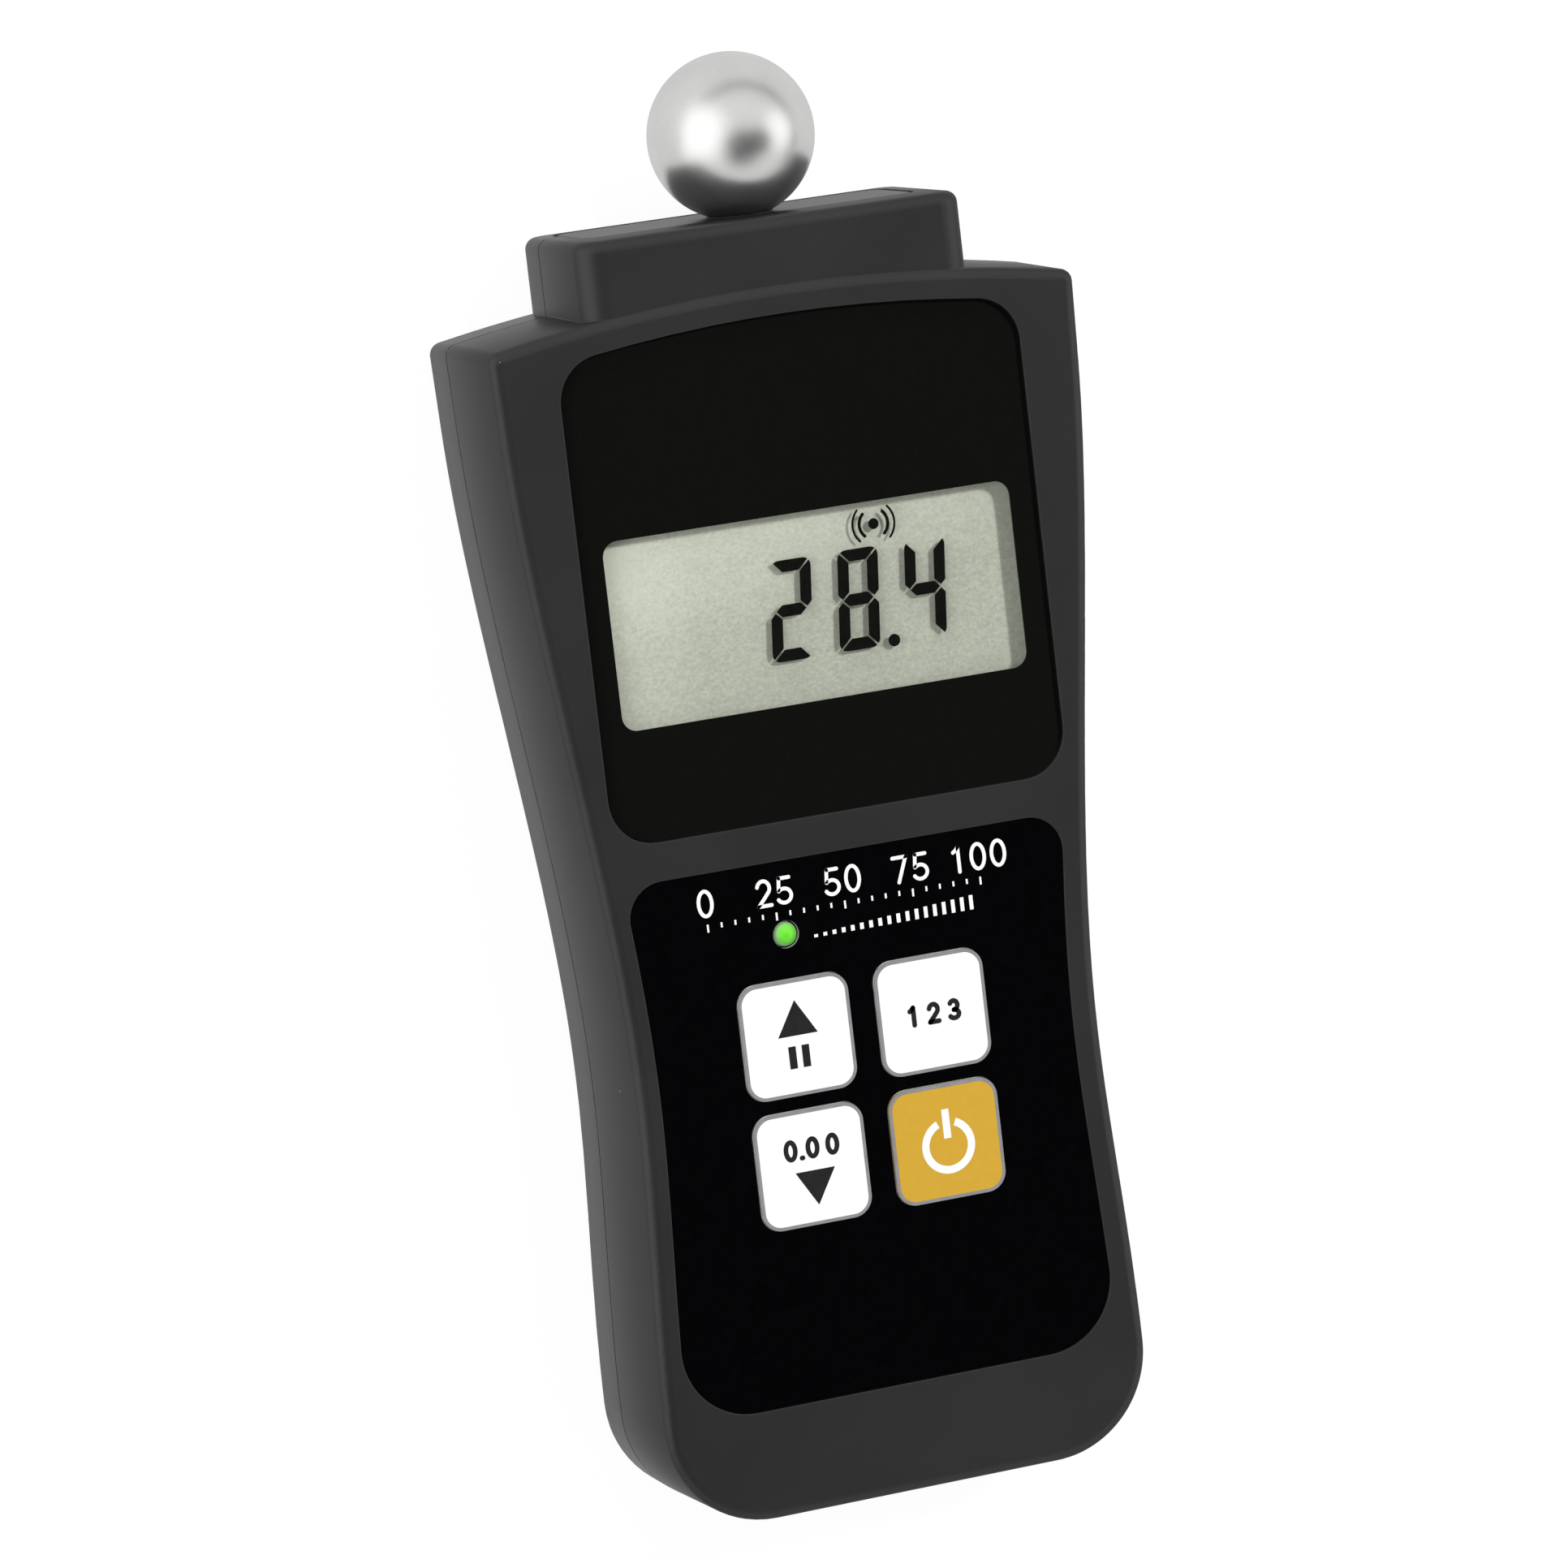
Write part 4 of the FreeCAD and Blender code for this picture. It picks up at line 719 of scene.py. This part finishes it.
# the lines of plain numbers in a box 0.6 wide and 1 tall, each with whether it closes
figureBox = {"halfWide": 0.3, "pointShare": 0.55}
figureLines = {
    "0": [(arcPath((0.3, 0.5), 0.235, 0.42, 0, 352, 44), True)],
    "1": [([(0.16, 0.76), (0.25, 0.82), (0.34, 0.92)], False),
          ([(0.34, 0.92), (0.34, 0.5), (0.34, 0.08)], False)],
    "2": [(np.concatenate([arcPath((0.3, 0.67), 0.22, 0.25, 165, -32, 22),
                           [[0.3, 0.32], [0.08, 0.08]]]), False),
          ([(0.08, 0.08), (0.3, 0.08), (0.54, 0.08)], False)],
    "3": [(arcPath((0.28, 0.7), 0.2, 0.22, 150, -90, 22), False),
          (arcPath((0.28, 0.28), 0.24, 0.2, 90, -150, 22), False)],
    "5": [([(0.5, 0.92), (0.3, 0.92), (0.14, 0.92)], False),
          ([(0.14, 0.92), (0.12, 0.72), (0.1, 0.52)], False),
          (arcPath((0.28, 0.32), 0.25, 0.24, 135, -150, 24), False)],
    "7": [([(0.06, 0.92), (0.3, 0.92), (0.54, 0.92)], False),
          ([(0.54, 0.92), (0.38, 0.5), (0.22, 0.08)], False)],
    ".": [([(0.28, 0.08), (0.3, 0.08), (0.32, 0.08)], False)],
}


def writeFigures(text, middle, tall, width, levels, spacing=0.74):
    # sets the numbers side by side about a middle point, closer beside a point
    step = tall * spacing
    pairs = zip(text, text[1:])
    steps = np.cumsum([0] + [step * (figureBox["pointShare"] if "." in pair else 1.0)
                             for pair in pairs])
    start = np.array(middle) - [steps[-1] / 2 + figureBox["halfWide"] * tall, tall / 2]
    surfaces = []
    for offset, figure in zip(steps, text):
        for path, closed in figureLines[figure]:
            line = np.array(path) * tall + start + [offset, 0]
            surfaces.append(stroke(fromFoot(line), width, *levels, closed=closed))
    return surfaces


def faceLevels(node):
    # from just inside a key's face to just above it
    top = boxOf(node)[1][2]
    return top - keyPrint["sink"], top + keyPrint["raise"]


def ringOn(node, body):
    # the ring is a flat bar carried round the key's own outline, just over its bevelled edge
    low, high = boxOf(node)
    middle, half = (low[:2] + high[:2]) / 2, (high[0] - low[0]) / 2
    inward = keyPrint["ring"] / 2 - keyPrint["ringOver"]
    path = roundedRectangle(middle, half - inward, half - inward, keyPrint["keyRadius"] - inward, 12)
    foot, top = high[2] - keyPrint["ringSink"], high[2] + keyPrint["raise"]
    surface = stroke(path, keyPrint["ring"], foot, top, keyPrint["ringEdge"], closed=True)
    return makePiece(body + "Ring", [surface], ringInk, body)


def triangleOn(foot, levels, facing):
    # on the middle of its level foot, pointing up or, with facing -1, down
    half, tall = facing * keyPrint["triangleHalf"], facing * keyPrint["triangleTall"]
    x, y = foot
    return plate(fromFoot([(x - half, y), (x + half, y), (x, y + tall)]), *levels)


def bluntBar(x, heights, width, levels):
    # a straight upright bar with square ends, through three heights
    return stroke(fromFoot([(x, y) for y in heights]), width, *levels, roundEnds=False)


for node, body in (("key_up", "up_key"), ("key_select", "select_key"), ("key_down", "down_key"),
                   ("key_power", "power_key")):
    ringOn(node, body)

levels = faceLevels("key_up")
upMark = [triangleOn(keyPrint["upTriangle"], levels, 1)]
upMark += [bluntBar(x, keyPrint["upBarsY"], keyPrint["upBarWide"], levels)
           for x in keyPrint["upBarsX"]]
makePiece("upKeyMark", upMark, darkInk, "up_key")

levels = faceLevels("key_select")
selectMark = writeFigures(keyPrint["selectText"], keyPrint["selectAt"], keyPrint["figureTall"],
                          keyPrint["figureLine"], levels, keyPrint["selectSpacing"])
makePiece("selectKeyMark", selectMark, darkInk, "select_key")

levels = faceLevels("key_down")
downMark = [triangleOn(keyPrint["downTriangle"], levels, -1)]
downMark += writeFigures(keyPrint["downText"], keyPrint["downAt"], keyPrint["figureTall"],
                         keyPrint["figureLine"], levels, keyPrint["downSpacing"])
makePiece("downKeyMark", downMark, darkInk, "down_key")

levels = faceLevels("key_power")
radius, gap, line = keyPrint["powerRadius"], keyPrint["powerGap"], keyPrint["powerLine"]
powerRing = arcPath(keyPrint["powerAt"], radius, radius, 90 + gap, 450 - gap, 60)
powerMark = [stroke(fromFoot(powerRing), line, *levels, roundEnds=False),
             bluntBar(keyPrint["powerAt"][0], keyPrint["powerBarY"], line, levels)]
makePiece("powerKeyMark", powerMark, whiteInk, "power_key")
print("keys marked")


# Film: a scale of plain numbers across the top and rising bars beside the lamp

filmPrint = {
    "ink": 0.02, "left": -18.6, "right": 16.4,
    "figureEvery": 25, "figureTall": 3.55, "figureLine": 0.45, "figureAt": 75.4,
    "tickEvery": 5, "tickAt": 72.7, "tickLine": 0.24, "tickLong": 0.75, "tickShort": 0.4,
    "tickMiddle": -0.1, "tickTop": 0.2,
    "barLeft": -5.2, "barRight": 14.9, "barFoot": 69.15, "barLeast": 0.35, "barRise": 1.4,
    "barCount": 18, "barWide": 0.48,
}
filmTop = boxOf("keypad_film")[1][2]
levels = (filmTop - filmPrint["ink"], filmTop + filmPrint["ink"])


def scaleX(number):
    # place of a number from 0 to 100 along the scale
    return filmPrint["left"] + (filmPrint["right"] - filmPrint["left"]) * number / 100


scaleMarks = []
for number in range(0, 101, filmPrint["figureEvery"]):
    scaleMarks += writeFigures(str(number), (scaleX(number), filmPrint["figureAt"]),
                               filmPrint["figureTall"], filmPrint["figureLine"], levels)
for number in range(0, 101, filmPrint["tickEvery"]):
    reach = filmPrint["tickShort" if number % filmPrint["figureEvery"] else "tickLong"]
    heights = [filmPrint["tickAt"] + step
               for step in (-reach, filmPrint["tickMiddle"], filmPrint["tickTop"])]
    scaleMarks.append(bluntBar(scaleX(number), heights, filmPrint["tickLine"], levels))
makePiece("filmScale", scaleMarks, whiteInk, "meter")

risingBars = []
foot = filmPrint["barFoot"]
for share in np.linspace(0, 1, filmPrint["barCount"]):
    x = filmPrint["barLeft"] + (filmPrint["barRight"] - filmPrint["barLeft"]) * share
    top = foot + filmPrint["barLeast"] + filmPrint["barRise"] * share
    risingBars.append(bluntBar(x, (foot, (foot + top) / 2, top), filmPrint["barWide"], levels))
makePiece("filmBars", risingBars, whiteInk, "meter")
print("film printed")


# Studio: a pale floor, lamps that light the meter but stay out of its reflections, and a sky that
# is white to the eye. In reflections it has a dimmer band and a few bright and dark patches.

studio = {
    "floorHalf": 4.0, "floorGap": 0.0002, "floorTint": 0.82, "floorSeen": 0.12, "floorGlow": 0.93,
    "floorMirrored": 0.69,
    "skySeen": 1.0, "skyDiffuse": 0.5, "skyRound": 0.95, "skyBand": 0.35, "bandAt": 0.27,
    "bandEnds": (0.03, 0.2),
    "skyPatches": [
        {"towards": (-0.9, 0.18, 0.42), "within": 20.0, "ends": 48.0, "level": 1.6},
        {"towards": (0.76, 0.03, 0.64), "within": 9.0, "ends": 28.0, "level": 1.6},
        {"towards": (-0.1, -0.26, 0.95), "within": 15.0, "ends": 30.0, "level": 0.01},
        {"towards": (0.34, -0.15, 0.93), "within": 9.0, "ends": 21.0, "level": 0.05},
    ],
    "boxes": [
        {"name": "keyBox", "at": (0.4, 0.4, 1.1), "size": (0.13, 0.13), "watts": 6.6},
        {"name": "leftBox", "at": (-0.95, 0.1, 0.72), "size": (0.45, 1.2), "watts": 5.3},
        {"name": "topBox", "at": (-0.25, 1.25, 0.55), "size": (1.2, 0.4), "watts": 4.5},
    ],
}


def byRay(tree, diffuse, mirrored, seen):
    # what the eye sees directly, what gloss and glass show, and what lights everything else
    ray = put(tree, "ShaderNodeLightPath").outputs
    reflected = calc(tree, "MAXIMUM", ray["Is Glossy Ray"], ray["Is Transmission Ray"])
    lit = put(tree, "ShaderNodeMixShader", {0: reflected, 1: diffuse, 2: mirrored}).outputs[0]
    return put(tree, "ShaderNodeMixShader", {0: ray["Is Camera Ray"], 1: lit, 2: seen}).outputs[0]


def buildFloor():
    half, drop = studio["floorHalf"], studio["floorGap"]
    mesh = bpy.data.meshes.new("studioFloor")
    corners = [(-half, -half, -drop), (half, -half, -drop), (half, half, -drop), (-half, half, -drop)]
    mesh.from_pydata(corners, [], [(0, 1, 2, 3)])
    material = bpy.data.materials.new("studioFloor")
    material.use_nodes = True
    tree = material.node_tree
    tree.nodes.remove(tree.nodes["Principled BSDF"])
    shade, seenShade = (put(tree, "ShaderNodeBsdfDiffuse", {"Color": (studio[tone],) * 3 + (1,)})
                        for tone in ("floorTint", "floorSeen"))
    glow, mirrored = (put(tree, "ShaderNodeEmission", {"Strength": studio[level]})
                      for level in ("floorGlow", "floorMirrored"))
    seen = put(tree, "ShaderNodeAddShader", {0: seenShade.outputs[0], 1: glow.outputs[0]})
    both = byRay(tree, shade.outputs[0], mirrored.outputs[0], seen.outputs[0])
    tree.links.new(both, tree.nodes["Material Output"].inputs["Surface"])
    mesh.materials.append(material)
    floor = bpy.data.objects.new("studioFloor", mesh)
    bpy.context.scene.collection.objects.link(floor)


def buildSky():
    world = bpy.data.worlds.new("studioSky")
    bpy.context.scene.world = world
    world.use_nodes = True
    world.cycles.sampling_method = "NONE"
    tree = world.node_tree
    tree.nodes.clear()
    towards = put(tree, "ShaderNodeTexCoord").outputs["Generated"]
    upward = put(tree, "ShaderNodeSeparateXYZ", {0: towards}).outputs["Z"]
    fromBand = calc(tree, "ABSOLUTE", calc(tree, "SUBTRACT", upward, studio["bandAt"]))
    level = spread(tree, fromBand, *studio["bandEnds"], studio["skyBand"], studio["skyRound"],
                   smooth=True)
    for patch in studio["skyPatches"]:
        # each patch takes over within its first angle of its direction and fades out by the second
        spot = tuple(Vector(patch["towards"]).normalized())
        nearness = put(tree, "ShaderNodeVectorMath", {0: towards, 1: spot}, operation="DOT_PRODUCT")
        near, far = (math.cos(math.radians(patch[end])) for end in ("within", "ends"))
        share = spread(tree, nearness.outputs["Value"], far, near, smooth=True)
        level = put(tree, "ShaderNodeMix", {0: share, 2: level, 3: patch["level"]}).outputs[0]
    soft, shiny, clear = (put(tree, "ShaderNodeBackground", {"Strength": strength}).outputs[0]
                          for strength in (studio["skyDiffuse"], level, studio["skySeen"]))
    end = tree.nodes.new("ShaderNodeOutputWorld")
    tree.links.new(byRay(tree, soft, shiny, clear), end.inputs["Surface"])


def buildLamps():
    for box in studio["boxes"]:
        lamp = bpy.data.lights.new(box["name"], "AREA")
        lamp.shape = "RECTANGLE"
        lamp.size, lamp.size_y = box["size"]
        lamp.energy = box["watts"]
        holder = bpy.data.objects.new(box["name"], lamp)
        holder.visible_glossy = holder.visible_transmission = False
        spot = Vector(box["at"])
        facing = spot.to_track_quat("Z", "Y").to_matrix().to_4x4()     # shines back at the origin
        holder.matrix_world = Matrix.Translation(spot) @ facing
        bpy.context.scene.collection.objects.link(holder)


view = {"target": (-2.735, -0.902, 12.0), "distance": 922.5, "yaw": -19.887, "pitch": 8.503,
        "roll": -6.617, "lens": 176.43, "sensor": 36.0}


def buildCamera():
    # stands back from the target along the view's direction, then rolls about it
    yaw, pitch, roll = (math.radians(view[turn]) for turn in ("yaw", "pitch", "roll"))
    back = Vector((math.sin(yaw) * math.cos(pitch), math.sin(pitch), math.cos(yaw) * math.cos(pitch)))
    level = Vector((0, 1, 0)).cross(back).normalized()
    right = level * math.cos(roll) + back.cross(level) * math.sin(roll)
    up = back.cross(right)
    camera = bpy.data.cameras.new("camera")
    camera.lens, camera.sensor_width = view["lens"], view["sensor"]
    camera.clip_start, camera.clip_end = 0.01, 20.0
    holder = bpy.data.objects.new("camera", camera)
    turn = Matrix((right, up, back)).transposed().to_4x4()
    spot = Vector(view["target"]) * mm + back * view["distance"] * mm
    holder.matrix_world = Matrix.Translation(spot) @ turn
    bpy.context.scene.collection.objects.link(holder)
    bpy.context.scene.camera = holder


buildFloor()
buildSky()
buildLamps()
buildCamera()
bpy.context.scene.view_settings.view_transform = "Standard"
print("studio and camera set")
